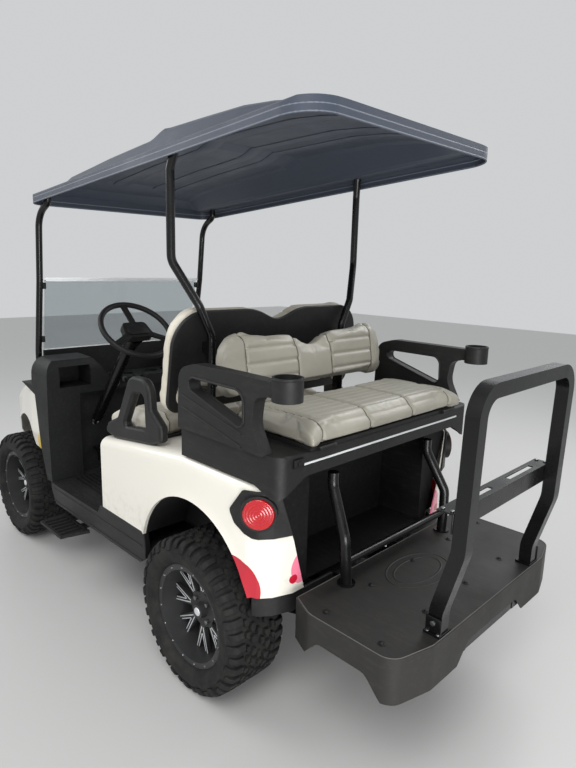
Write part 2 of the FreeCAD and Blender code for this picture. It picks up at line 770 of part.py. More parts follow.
knuckle_low = wheel_height - D.knuckle_half
knuckle_high = wheel_height + D.knuckle_half
yoke_levels = ((knuckle_low - D.seat_gap - D.yoke_thick, knuckle_low - D.seat_gap),
               (knuckle_high + D.seat_gap, knuckle_high + D.seat_gap + D.yoke_thick))
yoke_start = D.kingpin_middle - D.knuckle_radius * 2.3
yoke_web_end = D.kingpin_middle - D.knuckle_radius - 6
tie_height = knuckle_low - D.seat_gap - D.tie_eye_half
tie_ahead = D.wheelbase - D.steer_arm
beam_parts = [box("beam", (front_axle - D.beam_half_depth, front_axle + D.beam_half_depth),
                  (-yoke_start, yoke_start), (D.beam_low, D.beam_high))]
for side, sign in SIDES:
    y_low, y_high = sorted((yoke_start * sign, yoke_web_end * sign), key=float)
    beam_parts.append(box(f"yoke_web_{side}", (front_axle - D.yoke_web, front_axle + D.yoke_web),
                          (y_low, y_high), (yoke_levels[0][0], yoke_levels[1][1])))
    y_low, y_high = sorted((yoke_start * sign, D.kingpin_middle * sign), key=float)
    for level, (z_low, z_high) in zip(("low", "high"), yoke_levels):
        beam_parts.append(box(f"yoke_{level}_{side}",
                              (front_axle - D.yoke_web, front_axle + D.yoke_web), (y_low, y_high),
                              (z_low, z_high)))
        beam_parts.append(rod(f"yoke_end_{level}_{side}", "z", (front_axle, D.kingpin_middle * sign),
                              D.yoke_radius, z_low, z_high))
beam_parts.append(rod("rack_tube", "y", (ahead(tie_ahead), tie_height), D.tie_rod_radius + D.rack_wall,
                      -D.rack_half, D.rack_half))
for side, sign in SIDES:
    y_low, y_high = sorted((D.rack_half * sign, D.rack_half * 0.7 * sign), key=float)
    beam_parts.append(box(f"rack_bracket_{side}", (ahead(tie_ahead), front_axle),
                          (y_low, y_high), (tie_height, tie_height + D.tie_rod_radius + D.rack_wall * 2)))
beam_holes = [rod(f"kingpin_hole_{side}", "z", (front_axle, D.kingpin_middle * sign),
                  D.kingpin_radius + D.bore_gap, yoke_levels[0][0] - 1, yoke_levels[1][1] + 1)
              for side, sign in SIDES]
beam_holes.append(rod("rack_bore", "y", (ahead(tie_ahead), tie_height),
                      D.tie_rod_radius + D.bore_gap, -D.rack_half - 1, D.rack_half + 1))
node("front_axle", cut("front_axle", fuse("beam", *beam_parts), *beam_holes))

# Steering knuckles
arm_low = knuckle_low
knuckle_left = fuse(
    "knuckle",
    rod("knuckle_barrel", "z", (front_axle, D.kingpin_middle), D.knuckle_radius, knuckle_low, knuckle_high),
    rod("kingpin", "z", (front_axle, D.kingpin_middle), D.kingpin_radius,
        yoke_levels[0][0], yoke_levels[1][1]),
    rod("spindle", "y", (front_axle, wheel_height), D.spindle_radius,
        D.kingpin_middle, D.front_half_track + spindle_reach),
    box("steer_arm_plate", (front_axle - D.steer_arm, front_axle),
        (D.kingpin_middle - D.steer_arm_half, D.kingpin_middle + D.steer_arm_half),
        (arm_low, arm_low + D.steer_arm_thick)),
    rod("steer_arm_eye", "z", (front_axle - D.steer_arm, D.kingpin_middle), D.steer_arm_half * 1.5,
        arm_low, arm_low + D.steer_arm_thick))
both_sides("knuckle", knuckle_left)

# Tie rod that slides in the rack housing under the steering arms
tie_parts = [rod("tie_bar", "y", (ahead(tie_ahead), tie_height), D.tie_rod_radius,
                 -D.kingpin_middle, D.kingpin_middle)]
for side, sign in SIDES:
    tie_parts.append(rod(f"tie_eye_{side}", "z", (ahead(tie_ahead), D.kingpin_middle * sign),
                         D.tie_eye_radius, tie_height - D.tie_eye_half, tie_height + D.tie_eye_half))
node("tie_rod", fuse("tie_rod", *tie_parts))

# Tyres and rims

half_tyre = D.tyre_width / 2
half_tread = D.tread_width / 2
half_bead = D.bead_width / 2
# The facets' middles lie nearer the axis than their corners by this share
facet_drop = cosine(sized(180) / D.tyre_sides)
TYRE_HALF = (
    (half_bead - D.seat_gap, D.bead_radius - D.barrel_wall),
    (half_bead - D.seat_gap, (D.flange_radius + D.seat_gap) / facet_drop),
    (half_tyre - 6, D.flange_radius + 22),
    (half_tyre, D.tyre_radius - D.tyre_shoulder * 2),
    (half_tread, D.tyre_radius),
)
tyre_section = list(TYRE_HALF) + [(-u, v) for u, v in reversed(TYRE_HALF)]
groove_floor = D.tyre_radius - D.lug_deep


def faceted_ring(section, sides):
    """A ring about Y made of flat facets; the section is a list of (y, radius)."""
    rings = []
    for side in range(sides):
        angle = 2 * math.pi * side / sides
        rings.append([Vector(float(radius) * math.sin(angle), float(y), float(radius) * math.cos(angle))
                      for y, radius in section])
    faces = []
    for ring, after in zip(rings, rings[1:] + rings[:1]):
        for low in range(len(section)):
            high = (low + 1) % len(section)
            faces.append(Part.Face(Part.makePolygon([ring[low], ring[high], after[high], after[low], ring[low]])))
    solid = Part.makeSolid(Part.makeShell(faces))
    if solid.Volume < 0:
        solid.reverse()
    return solid


def slanted_groove(y_low, y_high, slant, turn):
    """A groove across a stretch of the tread, slanted about the radius, at an angle round the tyre."""
    wide = float(D.lug_groove)
    reach = y_high - y_low
    groove = Part.makeBox(wide, reach, float(D.tyre_shoulder + D.lug_deep), Vector(-wide / 2, -reach / 2, 0))
    lean = Placement(Vector(0, (y_low + y_high) / 2, float(groove_floor)), Rotation(Vector(0, 0, 1), slant))
    groove.Placement = Placement(Vector(), Rotation(Vector(0, 1, 0), turn)).multiply(lean)
    return groove


lug_step = 360 / float(D.lug_count)
edge_reach = float(half_tyre + D.lug_groove)
groove_start = float(D.centre_rib)
# Rows of grooves: (low y, high y, share of a lug's step that the row is turned by)
GROOVE_ROWS = ((groove_start, edge_reach, 0.25), (-edge_reach, -groove_start, 0.75))
tread_grooves = Part.makeCompound([
    slanted_groove(y_low, y_high, float(D.lug_skew), lug_step * (number + share))
    for y_low, y_high, share in GROOVE_ROWS
    for number in range(int(float(D.lug_count)))
])
tyre_ring = faceted_ring(tyre_section, int(float(D.tyre_sides)))
bead_room = Part.makeCylinder(float(D.bead_radius + D.seat_gap), float(D.tyre_width),
                              Vector(0, -float(half_tyre), 0), Vector(0, 1, 0))
tyre_solid = shape_object("tyre_block", tyre_ring.cut([tread_grooves, bead_room]))
barrel_inner = D.bead_radius - D.barrel_wall
half_rim = half_bead + D.flange_thick
barrel_section = (
    (half_rim, D.flange_radius), (half_bead, D.flange_radius), (half_bead, D.bead_radius),
    (-half_bead, D.bead_radius), (-half_bead, D.flange_radius), (-half_rim, D.flange_radius),
    (-half_rim, barrel_inner), (half_rim, barrel_inner),
)
disc_high = D.disc_low + D.disc_thick
cap_high = disc_high + D.cap_rise
spindle_bore = D.spindle_radius + D.bore_gap
hub_section = (
    (D.hub_low, spindle_bore), (D.hub_low, D.hub_radius), (D.disc_low, D.hub_radius),
    (D.disc_low, D.hub_plate_radius), (disc_high, D.hub_plate_radius), (disc_high, D.cap_radius),
    (cap_high, D.cap_radius - 4), (cap_high, 0), (cap_high - D.cap_wall, 0),
    (cap_high - D.cap_wall, spindle_bore),
)
spoke_outline = (
    (-D.spoke_root, D.hub_radius), (D.spoke_root, D.hub_radius), (D.spoke_tip_outer, barrel_inner - 2),
    (D.spoke_tip_outer, barrel_inner + 2), (D.spoke_tip_inner, barrel_inner + 3),
    (D.spoke_tip_inner - 1, barrel_inner - 4), (0, D.spoke_fork), (-D.spoke_tip_inner + 1, barrel_inner - 4),
    (-D.spoke_tip_inner, barrel_inner + 3), (-D.spoke_tip_outer, barrel_inner + 2),
    (-D.spoke_tip_outer, barrel_inner - 2),
)


rim_spoke = profile("rim_spoke", "xz", spoke_outline, D.disc_low, disc_high)
rim_spokes = []
for number in range(int(float(D.spoke_count))):
    spoke_copy = doc.addObject("Part::Compound", f"rim_spoke_{number}")
    spoke_copy.Links = [rim_spoke]
    spoke_copy.Placement = Placement(Vector(), Rotation(Vector(0, 1, 0), 360 * number / float(D.spoke_count)))
    rim_spokes.append(spoke_copy)
rim_solid = fuse("rim", revolved("rim_barrel", barrel_section), revolved("rim_hub", hub_section), *rim_spokes)


def wheel(corner_name, station, half_track, sign):
    """A tyre and a rim at one corner; the rim's outer face looks outward."""
    turn = Rotation() if sign > 0 else Rotation(Vector(0, 0, 1), 180)
    for label, solid in (("tyre", tyre_solid), ("rim", rim_solid)):
        copy = doc.addObject("Part::Compound", f"{label}_{corner_name}_copy")
        copy.Links = [solid]
        node(f"{label}_{corner_name}", place(copy, ahead(station), half_track * sign, wheel_height, turn=turn))


for end, station, half_track in (("front", D.wheelbase, D.front_half_track),
                                 ("rear", sized(0), D.rear_half_track)):
    for side, sign in SIDES:
        wheel(f"{end}_{side}", station, half_track, sign)

# Floor with a ribbed underside

floor_outline = (
    (ahead(D.floor_rear), rail_top), (ahead(D.floor_toe), rail_top),
    (ahead(D.floor_toe), D.floor_top_front), (ahead(D.floor_front), D.floor_top_front),
    (ahead(D.floor_rear), D.floor_top_rear),
)
floor_slab = profile("floor_slab", "xz", floor_outline, -D.floor_half, D.floor_half)
# The post of the seat frame passes through the floor
floor_holes = [box(f"floor_hole_{side}",
                   (ahead(D.post_front - half_post) - 1, ahead(D.post_front + half_post) + 1),
                   (D.post_middle * sign - half_post - 1, D.post_middle * sign + half_post + 1),
                   (rail_top - 1, D.floor_top_front)) for side, sign in SIDES]
# Pockets under the raised front of the floor: (rear end, front end) ahead
floor_pockets = []
bay_count = 3
bay_pitch = (D.floor_front - D.post_front - D.cross_size) / bay_count
for bay in range(bay_count):
    start = D.post_front + half_cross + bay_pitch * bay + D.floor_skin
    end = start + bay_pitch - D.floor_skin * 2
    level = D.floor_top_rear + (D.floor_top_front - D.floor_top_rear) * (
        (start - D.floor_rear) / (D.floor_front - D.floor_rear)) - D.floor_skin
    for side, sign in SIDES:
        y_low, y_high = sorted((D.rail_middle * sign + half_rail * sign, (D.floor_half - D.floor_skin) * sign),
                               key=float)
        floor_pockets.append(box(f"floor_pocket_{bay}_{side}", (ahead(start), ahead(end)),
                                 (y_low, y_high), (rail_top - 1, level)))
floor_battery = box("floor_battery_hole", (ahead(D.floor_rear) - 1, ahead(D.battery_front) + 1),
                    (-D.battery_half - 1, D.battery_half + 1), (rail_top - 1, D.floor_top_front))
node("floor_pan", cut("floor_pan", floor_slab, *floor_holes, *floor_pockets, floor_battery))

# Sills along the floor, stepping up under the body
sill_outline = (
    (ahead(D.floor_rear), D.floor_top_rear - 30), (ahead(D.floor_rear) + 45, D.sill_low),
    (ahead(D.floor_front) - 40, D.sill_low), (ahead(D.floor_front), D.floor_top_front - 40),
    (ahead(D.floor_front), D.floor_top_front), (ahead(D.sill_step) + 30, D.floor_top_front),
    (ahead(D.sill_step), D.body_low - D.seat_gap), (ahead(D.floor_rear) + 10, D.body_low - D.seat_gap),
    (ahead(D.floor_rear), D.floor_top_rear + 20),
)
sills = doc.addObject("Part::Compound", "sill_set")
sill_left = profile("sill_left", "xz", sill_outline, D.floor_half, D.sill_out)
sills.Links = [sill_left, mirrored("sill_right", sill_left)]
node("rocker_panels", sills)

# Side steps: a slotted plate on two arms from the frame

step_outline = (
    (ahead(D.step_rear), D.step_in), (ahead(D.step_rear) + 30, D.step_out), (ahead(D.step_front) - 10, D.step_out),
    (ahead(D.step_front), D.step_in),
)
step_low = D.step_top - D.step_thick
step_plate = profile("step_plate", "xy", step_outline, step_low, D.step_top)
slot_count = 6
slot_pitch = (D.step_front - D.step_rear - 60) / slot_count
step_slots = [box(f"step_slot_{number}",
                  (ahead(D.step_rear + 36 + slot_pitch * number),
                   ahead(D.step_rear + 36 + slot_pitch * (number + 1) - D.step_bar)),
                  (D.step_in + D.step_bar, D.step_out - D.step_bar), (step_low - 1, D.step_top + 1))
              for number in range(slot_count)]
step_arms = [box(f"step_arm_{number}", (ahead(station), ahead(station + D.cross_size)),
                 (D.rail_middle + half_rail, D.step_in + D.step_bar),
                 (step_low, D.step_top)) for number, station in
             enumerate((D.step_rear + 60, D.step_front - 90))]
step_hangers = [box(f"step_hanger_{number}", (ahead(station), ahead(station + D.cross_size)),
                    (D.rail_middle - half_rail, D.rail_middle + half_rail),
                    (step_low, D.rail_height)) for number, station in
                enumerate((D.step_rear + 60, D.step_front - 90))]
step_left = fuse("step", cut("step_plate", step_plate, *step_slots), *step_arms, *step_hangers)
steps = doc.addObject("Part::Compound", "step_set")
steps.Links = [step_left, mirrored("step_right", step_left)]
node("side_steps", steps)

# Rear body shell: (station ahead, half width, top, corner radius)

BODY_STATIONS = (
    (D.body_front, D.body_half - 6, D.deck_front_height, 40),
    (D.deck_bend, D.body_half, D.deck_height, 45),
    (sized(-200), D.body_half, D.deck_height, 45),
    (sized(-270), D.body_half - 2, D.deck_height, 45),
    (sized(-310), D.body_half - 22, D.deck_height, 45),
    (sized(-340), D.body_half - 62, D.deck_height, 45),
    (sized(-365), D.body_half - 132, D.deck_height, 45),
)
body_rows = [(float(ahead(x)), float(half), float(top), float(corner))
             for x, half, top, corner in BODY_STATIONS]
wall = float(D.body_wall)
body_low = float(D.body_low)
body_outer = arched_loft(body_rows, body_low)
body_inner = arched_loft(body_rows, body_low - 1, wall)
shell = body_outer.cut(body_inner)


def mouth_outline(x, spread, low, high):
    """The slanting outline between the rear corners, widened by spread, between two heights."""
    rise = float(D.deck_height - D.body_low)
    corners = []
    for height in (low, high):
        share = (height - float(D.body_low)) / rise
        corners.append((float(D.mouth_low_half) + (float(D.mouth_top_half - D.mouth_low_half)) * share + spread, height))
    points = [Vector(x, -corners[0][0], low), Vector(x, corners[0][0], low),
              Vector(x, corners[1][0], high), Vector(x, -corners[1][0], high)]
    return Part.Face(Part.makePolygon(points + points[:1]))


mouth_x = float(ahead(D.mouth_ahead))
mouth_deep = 20
opening = mouth_outline(body_rows[-1][0] - mouth_deep, 0, body_low - 5, float(D.deck_height) + 5)
shell = shell.cut(opening.extrude(Vector(mouth_x + mouth_deep - body_rows[-1][0] + mouth_deep, 0, 0)))
arch_centre = Vector(float(ahead(D.arch_ahead)), 0, float(D.arch_height))


def body_side(x):
    """Half width of the body at an x of its plan curve."""
    for (x_front, front, _, _), (x_rear, rear, _, _) in zip(body_rows, body_rows[1:]):
        if x_rear <= x <= x_front:
            return front + (rear - front) * (x_front - x) / (x_front - x_rear)
    return body_rows[-1][1]


def arch_flare(steps=28):
    """A soft swelling of the left side round the wheel arch, made of flat facets."""
    inner = float(D.arch_radius)
    outer = inner + float(D.flare_wide)
    low_inner = math.asin((body_low - arch_centre.z) / inner)
    rings = []
    for step in range(steps + 1):
        angle = low_inner + (math.pi - 2 * low_inner) * step / steps
        way = Vector(math.cos(angle), 0, math.sin(angle))
        near = arch_centre + way * inner
        far = arch_centre + way * outer
        rings.append((Vector(far.x, body_side(far.x) - 1, far.z),
                      Vector(near.x, body_side(near.x) + float(D.flare_proud), near.z),
                      Vector(near.x, body_side(near.x) - 1, near.z)))
    faces = []
    for first, second in zip(rings, rings[1:]):
        for corner in range(3):
            after = (corner + 1) % 3
            faces.append((first[corner], second[corner], second[after]))
            faces.append((first[corner], second[after], first[after]))
    faces += [rings[0], rings[-1]]
    skin = Part.makeShell([Part.Face(Part.makePolygon(list(face) + [face[0]])) for face in faces])
    flare = Part.makeSolid(skin)
    if flare.Volume < 0:
        flare.reverse()
    below = Part.makeBox(1500, 1500, 400, Vector(arch_centre.x - 750, 0, body_low - 400))
    return flare.cut(below)


# The wheel liners end just inside the side panels
liner_room = arched_loft(body_rows, body_low, wall + float(D.seat_gap))
flare_left = arch_flare()
liners = []
for side, sign in SIDES:
    inner_y = float(D.arch_inner) * sign
    outer_y = (float(D.body_half) + 20) * sign
    direction = Vector(0, sign, 0)
    start = Vector(arch_centre.x, inner_y, arch_centre.z)
    hole = Part.makeCylinder(float(D.arch_radius), abs(outer_y - inner_y), start, direction)
    housing = Part.makeCylinder(float(D.arch_radius) + wall, abs(outer_y - inner_y) + wall,
                                start - direction * wall, direction)
    liners.append(shape_object(f"liner_{side}", housing.cut(hole).common(liner_room)))
    flare = flare_left if sign > 0 else flare_left.mirror(Vector(), Vector(0, 1, 0))
    shell = shell.cut(hole).fuse(flare)
lid_hole = Part.makeBox(float(D.lid_front - D.lid_hinge) - 90, float(D.lid_half) * 1.6, 80,
                        Vector(float(ahead(D.lid_hinge)) + 40, -float(D.lid_half) * 0.8,
                               float(D.deck_front_height) - 20))
node("rear_body", shape_object("rear_body_shell", shell.cut(lid_hole)))
wheel_liners = doc.addObject("Part::Compound", "liner_pair")
wheel_liners.Links = liners
node("wheel_liners", wheel_liners)

# Bag well between the rear corners, open to the rear, with the plate round its mouth
well_wall = float(D.body_wall)
well_side = float(D.well_half)
well_top = float(D.deck_height - D.body_wall - D.seat_gap)
well_low = float(D.well_low)
well_long = float(D.well_front - D.mouth_ahead)
mouth_plate = mouth_outline(mouth_x, 6, well_low, well_top).extrude(Vector(well_wall, 0, 0)).common(liner_room)
well_block = Part.makeBox(well_long, well_side * 2, well_top - well_low, Vector(mouth_x, -well_side, well_low))
well_space = Part.makeBox(well_long, (well_side - well_wall) * 2, well_top - well_low - well_wall * 2,
                          Vector(mouth_x - well_wall, -well_side + well_wall, well_low + well_wall))
node("bag_well", shape_object("bag_well_shell", mouth_plate.fuse(well_block).cut(well_space)))

# Corner bumpers under the rear corners
valance_rows = [(float(ahead(-290)), float(D.body_half) - 12, 0, 0)] + \
    [(row[0], row[1], 0, 0) for row in body_rows[-3:]]


def plan_prism(rows, inset, low, high):
    """An upright prism whose plan follows the rear corners."""
    left = [Vector(x, half - inset, low) for x, half, _, _ in rows]
    left[-1] = left[-1] + Vector(inset, 0, 0)
    right = [Vector(point.x, -point.y, point.z) for point in reversed(left)]
    face = Part.Face(Part.makePolygon(left + right + left[:1]))
    return face.extrude(Vector(0, 0, high - low))


valance = plan_prism(valance_rows, 0, float(D.valance_low), body_low - float(D.seat_gap)).cut(
    plan_prism(valance_rows, 12, float(D.valance_low) - 1, body_low + 1))
valance = valance.cut(Part.makeBox(400, float(D.valance_inner) * 2, 200,
                                   Vector(valance_rows[-1][0] - 200, -float(D.valance_inner),
                                          float(D.valance_low) - 10)))
valance = valance.cut(Part.makeBox(100, 2000, 200, Vector(valance_rows[0][0] - 1, -1000,
                                                          float(D.valance_low) - 10)))
node("rear_valance", shape_object("corner_bumpers", valance))

# Tail lights on the rear corners

lamp_height = float(D.deck_height - D.lamp_drop)
corner_a, corner_ridge, corner_b = [Vector(row[0], row[1], lamp_height) for row in body_rows[3:6]]
along_corner = (corner_b - corner_a).normalize()
lamp_way = Vector(along_corner.y, -along_corner.x, 0)
lamp_centre = (corner_a + corner_b) * 0.5 + lamp_way * (corner_ridge - corner_a).dot(lamp_way)
bezel_rows = [(x, half + float(D.bezel_proud), top + 30, corner) for x, half, top, corner in body_rows]
bezel_rows[-3:] = [(row[0] - float(D.bezel_proud),) + row[1:] for row in bezel_rows[-3:]]
bezel_gap_rows = [(x, half + float(D.seat_gap), top + 30, corner) for x, half, top, corner in body_rows]
bezel_gap_rows[-3:] = [(row[0] - float(D.seat_gap),) + row[1:] for row in bezel_gap_rows[-3:]]
# Side outline of a bezel: (station ahead, drop below the deck), its rear edge beyond the slanting opening
BEZEL_CORNERS = ((-196, 110), (-262, 24), (-400, 24), (-400, 184), (-296, 184), (-222, 150))
bezel_wire = rounded_wire([(spot(sized(x), 430, D.deck_height - drop), True) for x, drop in BEZEL_CORNERS], 18)
bezel_face = Part.Face(bezel_wire)
mouth_room = mouth_outline(body_rows[-1][0] - 60, 3, body_low - 5, float(D.deck_height) + 5).extrude(
    Vector(200, 0, 0))
bezel = arched_loft(bezel_rows, body_low).cut(arched_loft(bezel_gap_rows, body_low - 1)).common(
    bezel_face.extrude(Vector(0, 200, 0))).cut(mouth_room)
ring_deep = 14
ring = Part.makeCylinder(float(D.lamp_radius + D.lamp_rim), ring_deep + float(D.bezel_proud) + 10,
                         lamp_centre - lamp_way * ring_deep, lamp_way)
ring = ring.cut(arched_loft(bezel_gap_rows, body_low - 1))
lens_seat = float(D.bezel_proud)
lens = Part.makeCylinder(float(D.lamp_radius), float(D.lamp_proud) - lens_seat, lamp_centre + lamp_way * lens_seat,
                         lamp_way)
lens_room = Part.makeCylinder(float(D.lamp_radius + D.seat_gap), 60,
                              lamp_centre + lamp_way * (lens_seat - float(D.seat_gap)), lamp_way)
bezel = bezel.fuse(ring).cut(lens_room)
for label, shape in (("tail_light_bezels", bezel), ("tail_lights", lens)):
    left_item = shape_object(f"{label}_left", shape)
    pair = doc.addObject("Part::Compound", f"{label}_pair")
    pair.Links = [left_item, mirrored(f"{label}_right", left_item)]
    node(label, pair)

# Scuttle and dash: one moulded piece with a footwell and shallow pockets

dash_outline = (
    (ahead(D.cowl_back) - 12, D.floor_top_front + D.seat_gap), (ahead(D.cowl_back) - 5, 720),
    (ahead(D.cowl_back) - 12, 900), (ahead(D.cowl_back) - 16, 1000), (ahead(D.cowl_back) + 10, D.dash_top, 15),
    (ahead(D.cowl_back) + 165, D.dash_top + 14, 30), (ahead(D.cowl_back) + 178, D.scuttle_height),
    (ahead(D.scuttle_front), D.scuttle_height), (ahead(D.cowl_back) + 145, D.scuttle_height - 45),
    (ahead(D.cowl_back) + 100, 590), (ahead(D.cowl_back) + 45, D.floor_top_front + D.seat_gap),
)


def wing_outline(inset):
    """Across the dash: a rounded wing on each side of a lower middle."""
    side = D.cowl_half - inset
    top = D.dash_top + 15 - inset
    right = ((side, rail_top), (side, top, D.wing_round - inset), (D.wing_in + inset, top, 60),
             (D.wing_foot + inset, D.dash_middle - inset, 50))
    left = tuple((-corner[0],) + corner[1:] for corner in reversed(right))
    return right + left


dash_block = common("dash", profile("dash_side", "xz", dash_outline, -D.cowl_half, D.cowl_half),
                    profile("dash_wings", "yz", wing_outline(sized(0)), ahead(D.cowl_back) - 60,
                            ahead(D.scuttle_front) + 20))
hollow_outline = (
    (ahead(D.cowl_back) - 4, rail_top), (ahead(D.cowl_back) + 4, 720),
    (ahead(D.cowl_back) - 3, 900), (ahead(D.cowl_back) - 7, 1000), (ahead(D.cowl_back) + 14, D.dash_top - 6, 10),
    (ahead(D.cowl_back) + 158, D.dash_top + 8, 24), (ahead(D.cowl_back) + 166, D.scuttle_height - 6),
    (ahead(D.scuttle_front) + 10, D.scuttle_height - 6), (ahead(D.scuttle_front) + 10, rail_top),
)
dash_hollow = common("dash_hollow", profile("hollow_side", "xz", hollow_outline, -D.cowl_half + D.cowl_wall,
                                            D.cowl_half - D.cowl_wall),
                     profile("hollow_wings", "yz", wing_outline(D.cowl_wall), ahead(D.cowl_back) - 60,
                             ahead(D.scuttle_front) + 20))
foot_room = ((ahead(D.cowl_back) - 60, ahead(D.foot_front)), (-D.foot_half, D.foot_half),
             (rail_top, D.dash_low))
foot_walls = ((ahead(D.cowl_back) - 60, ahead(D.foot_front) + D.cowl_wall),
              (-D.foot_half - D.cowl_wall, D.foot_half + D.cowl_wall), (rail_top, D.dash_low + D.cowl_wall))
column_drop = sine(D.column_tilt) / cosine(D.column_tilt)
column_wall_height = D.wheel_height - (D.foot_front - D.wheel_ahead) * column_drop
shaft_hole = rod("shaft_hole", "x", (D.wheel_side, column_wall_height), D.shaft_radius * 2.4,
                 ahead(D.foot_front) - 1, ahead(D.foot_front) + D.cowl_wall + 1)
# Cup wells in the low middle of the dash: centre line to each
CUP_WELLS = (80, 185, -80, -185)
cup_tubes = []
cup_bores = []
for number, middle in enumerate(CUP_WELLS):
    cup_place = (ahead(D.foot_front) + D.cowl_wall + D.cup_radius + 4, middle)
    cup_tubes.append(rod(f"dash_cup_{number}", "z", cup_place, D.cup_radius,
                         D.dash_middle - D.cup_deep, D.dash_middle + 2))
    cup_bores.append(rod(f"dash_cup_bore_{number}", "z", cup_place, D.cup_radius - D.cup_wall,
                         D.dash_middle - D.cup_deep + D.cup_wall, D.dash_middle + 200))
# Open glove boxes in the rear face of the dash
glove_boxes = []
glove_rooms = []
for side, sign in SIDES:
    y_low, y_high = sorted((sized(345 * sign), sized(510 * sign)), key=float)
    glove_boxes.append(box(f"glove_{side}", (ahead(D.cowl_back) - 60, ahead(D.cowl_back) + 130),
                           (y_low - D.cowl_wall, y_high + D.cowl_wall), (sized(915), sized(1030))))
    glove_rooms.append(box(f"glove_room_{side}", (ahead(D.cowl_back) - 60, ahead(D.cowl_back) + 125),
                           (y_low, y_high), (sized(920), sized(1025))))
dash_space = cut("dash_space", dash_hollow, box("foot_walls", *foot_walls), *glove_boxes, *cup_tubes)
inner_cowl = cut("inner_cowl", dash_block, dash_space, box("foot_room", *foot_room), shaft_hole,
                 *glove_rooms, *cup_bores)
node("inner_cowl", inner_cowl)

# Front cowl shell: (station ahead, half width, top, corner radius)
COWL_STATIONS = (
    (2060, 370, 690, 80),
    (2000, 430, 770, 90),
    (1900, 470, 830, 90),
    (1750, 500, 880, 80),
    (1600, 532, 903, 60),
    (1500, 556, 903, 50),
    (1345, 575, 880, 40),
)
cowl_rows = [(float(ahead(sized(x))), half, top, corner) for x, half, top, corner in COWL_STATIONS]
nose_low = float(D.nose_low)
cowl_outer = arched_loft(cowl_rows, nose_low)
cowl_inner = arched_loft(cowl_rows[:-1] + [(cowl_rows[-1][0] - 20,) + cowl_rows[-1][1:]], nose_low - 1,
                         float(D.cowl_wall))
cowl_shell = cowl_outer.cut(cowl_inner)
fender_centre = Vector(float(front_axle), 0, float(D.fender_height))
fender_radius = float(D.fender_radius)
for side, sign in SIDES:
    direction = Vector(0, sign, 0)
    start = fender_centre + direction * float(D.fender_inner)
    hole = Part.makeCylinder(fender_radius, 500, start, direction)
    cowl_shell = cowl_shell.cut(hole)
doc.recompute()
cowl_shell = cowl_shell.cut(Part.makeBox(105, 2000, 118, Vector(float(ahead(sized(1345))), -1000, nose_low)))
for shift in (Vector(float(D.seat_gap), 0, 0), Vector(0, 0, -float(D.seat_gap))):
    moved = dash_block.Shape.copy()
    moved.translate(shift)
    cowl_shell = cowl_shell.cut(moved)
cowl_solid = max(cowl_shell.Solids, key=lambda solid: solid.Volume)
node("front_cowl", shape_object("front_cowl_shell", cowl_solid))

# Front bumper across the ends of the rails
bumper_low = D.rail_height + half_rail
bumper_outline = (
    (ahead(D.rail_front) + D.seat_gap, -240), (ahead(D.bumper_front) - 70, -330, 20),
    (ahead(D.bumper_front) - 15, -300, 40), (ahead(D.bumper_front), -150),
    (ahead(D.bumper_front), 150), (ahead(D.bumper_front) - 15, 300, 40),
    (ahead(D.bumper_front) - 70, 330, 20), (ahead(D.rail_front) + D.seat_gap, 240),
)
node("front_bumper", profile("bumper_beam", "xy", bumper_outline, bumper_low, bumper_low + 100))

# Headlights on the nose
light_rear = ahead(sized(2060)) + D.seat_gap
headlight_left = rod("headlight", "x", (D.headlight_middle, D.headlight_height), D.headlight_radius, light_rear,
                     light_rear + 18)
headlights = doc.addObject("Part::Compound", "headlight_pair")
headlights.Links = [headlight_left, mirrored("headlight_right", headlight_left)]
node("headlights", headlights)

# Windshield: the upper sheet is folded down in front of the lower one

def glass_outline(shift, low):
    """A leaning sheet's side outline, moved forward by shift."""
    x_low = ahead(D.glass_low_ahead) + shift
    x_high = ahead(D.glass_fold_ahead) + shift
    return ((x_low, low), (x_low + D.glass_thick, low), (x_high + D.glass_thick, D.glass_fold),
            (x_high, D.glass_fold))


node("windshield_lower", profile("glass_lower", "xz", glass_outline(sized(0), D.glass_low),
                                 -D.glass_half, D.glass_half))
node("windshield_upper", profile("glass_upper", "xz", glass_outline(D.glass_gap + D.glass_thick, D.glass_low + 6),
                                 -D.glass_half, D.glass_half))
strut_face = D.strut_half - D.strut_radius - D.seat_gap
sill_bar_outline = (
    (ahead(D.glass_low_ahead) - 3, D.scuttle_height + D.seat_gap),
    (ahead(D.glass_low_ahead) + 14, D.scuttle_height + D.seat_gap),
    (ahead(D.glass_low_ahead) + 9, D.glass_low - D.seat_gap),
    (ahead(D.glass_low_ahead) - 4, D.glass_low - D.seat_gap),
)
trim = doc.addObject("Part::Compound", "windshield_trim_set")
trim.Links = [
    profile("glass_sill", "xz", sill_bar_outline, -strut_face + 10, strut_face - 10),
    box("glass_hinge", (ahead(D.glass_fold_ahead) - 3, ahead(D.glass_fold_ahead) + D.glass_gap + D.glass_thick * 2 + 3),
        (-strut_face, strut_face), (D.glass_fold + D.seat_gap, D.glass_fold + 12)),
]
node("windshield_trim", trim)

# Roof: (station ahead, crown above the rim); the crown steps up behind the front seat's head room
ROOF_STATIONS = (
    (1419, 14), (1370, 52), (1250, 82), (900, 98), (560, 104), (520, 112), (470, 129), (430, 124), (200, 112),
    (0, 100), (-150, 78), (-270, 52), (-360, 24), (-425, 8), (-460, 2),
)
# Across one side of the crown: (offset from its half width, share of its height)
CROWN_SIDE = ((76, 0), (62, 0.12), (12, 0.86), (-8, 0.98), (-40, 1))


def roof_edge(station):
    """Lower edge of the roof, which rises towards the rear."""
    run = float(D.roof_front - D.roof_rear)
    share = (float(D.roof_front) - station) / run
    return float(D.roof_edge_front) + float(D.roof_edge_rear - D.roof_edge_front) * share


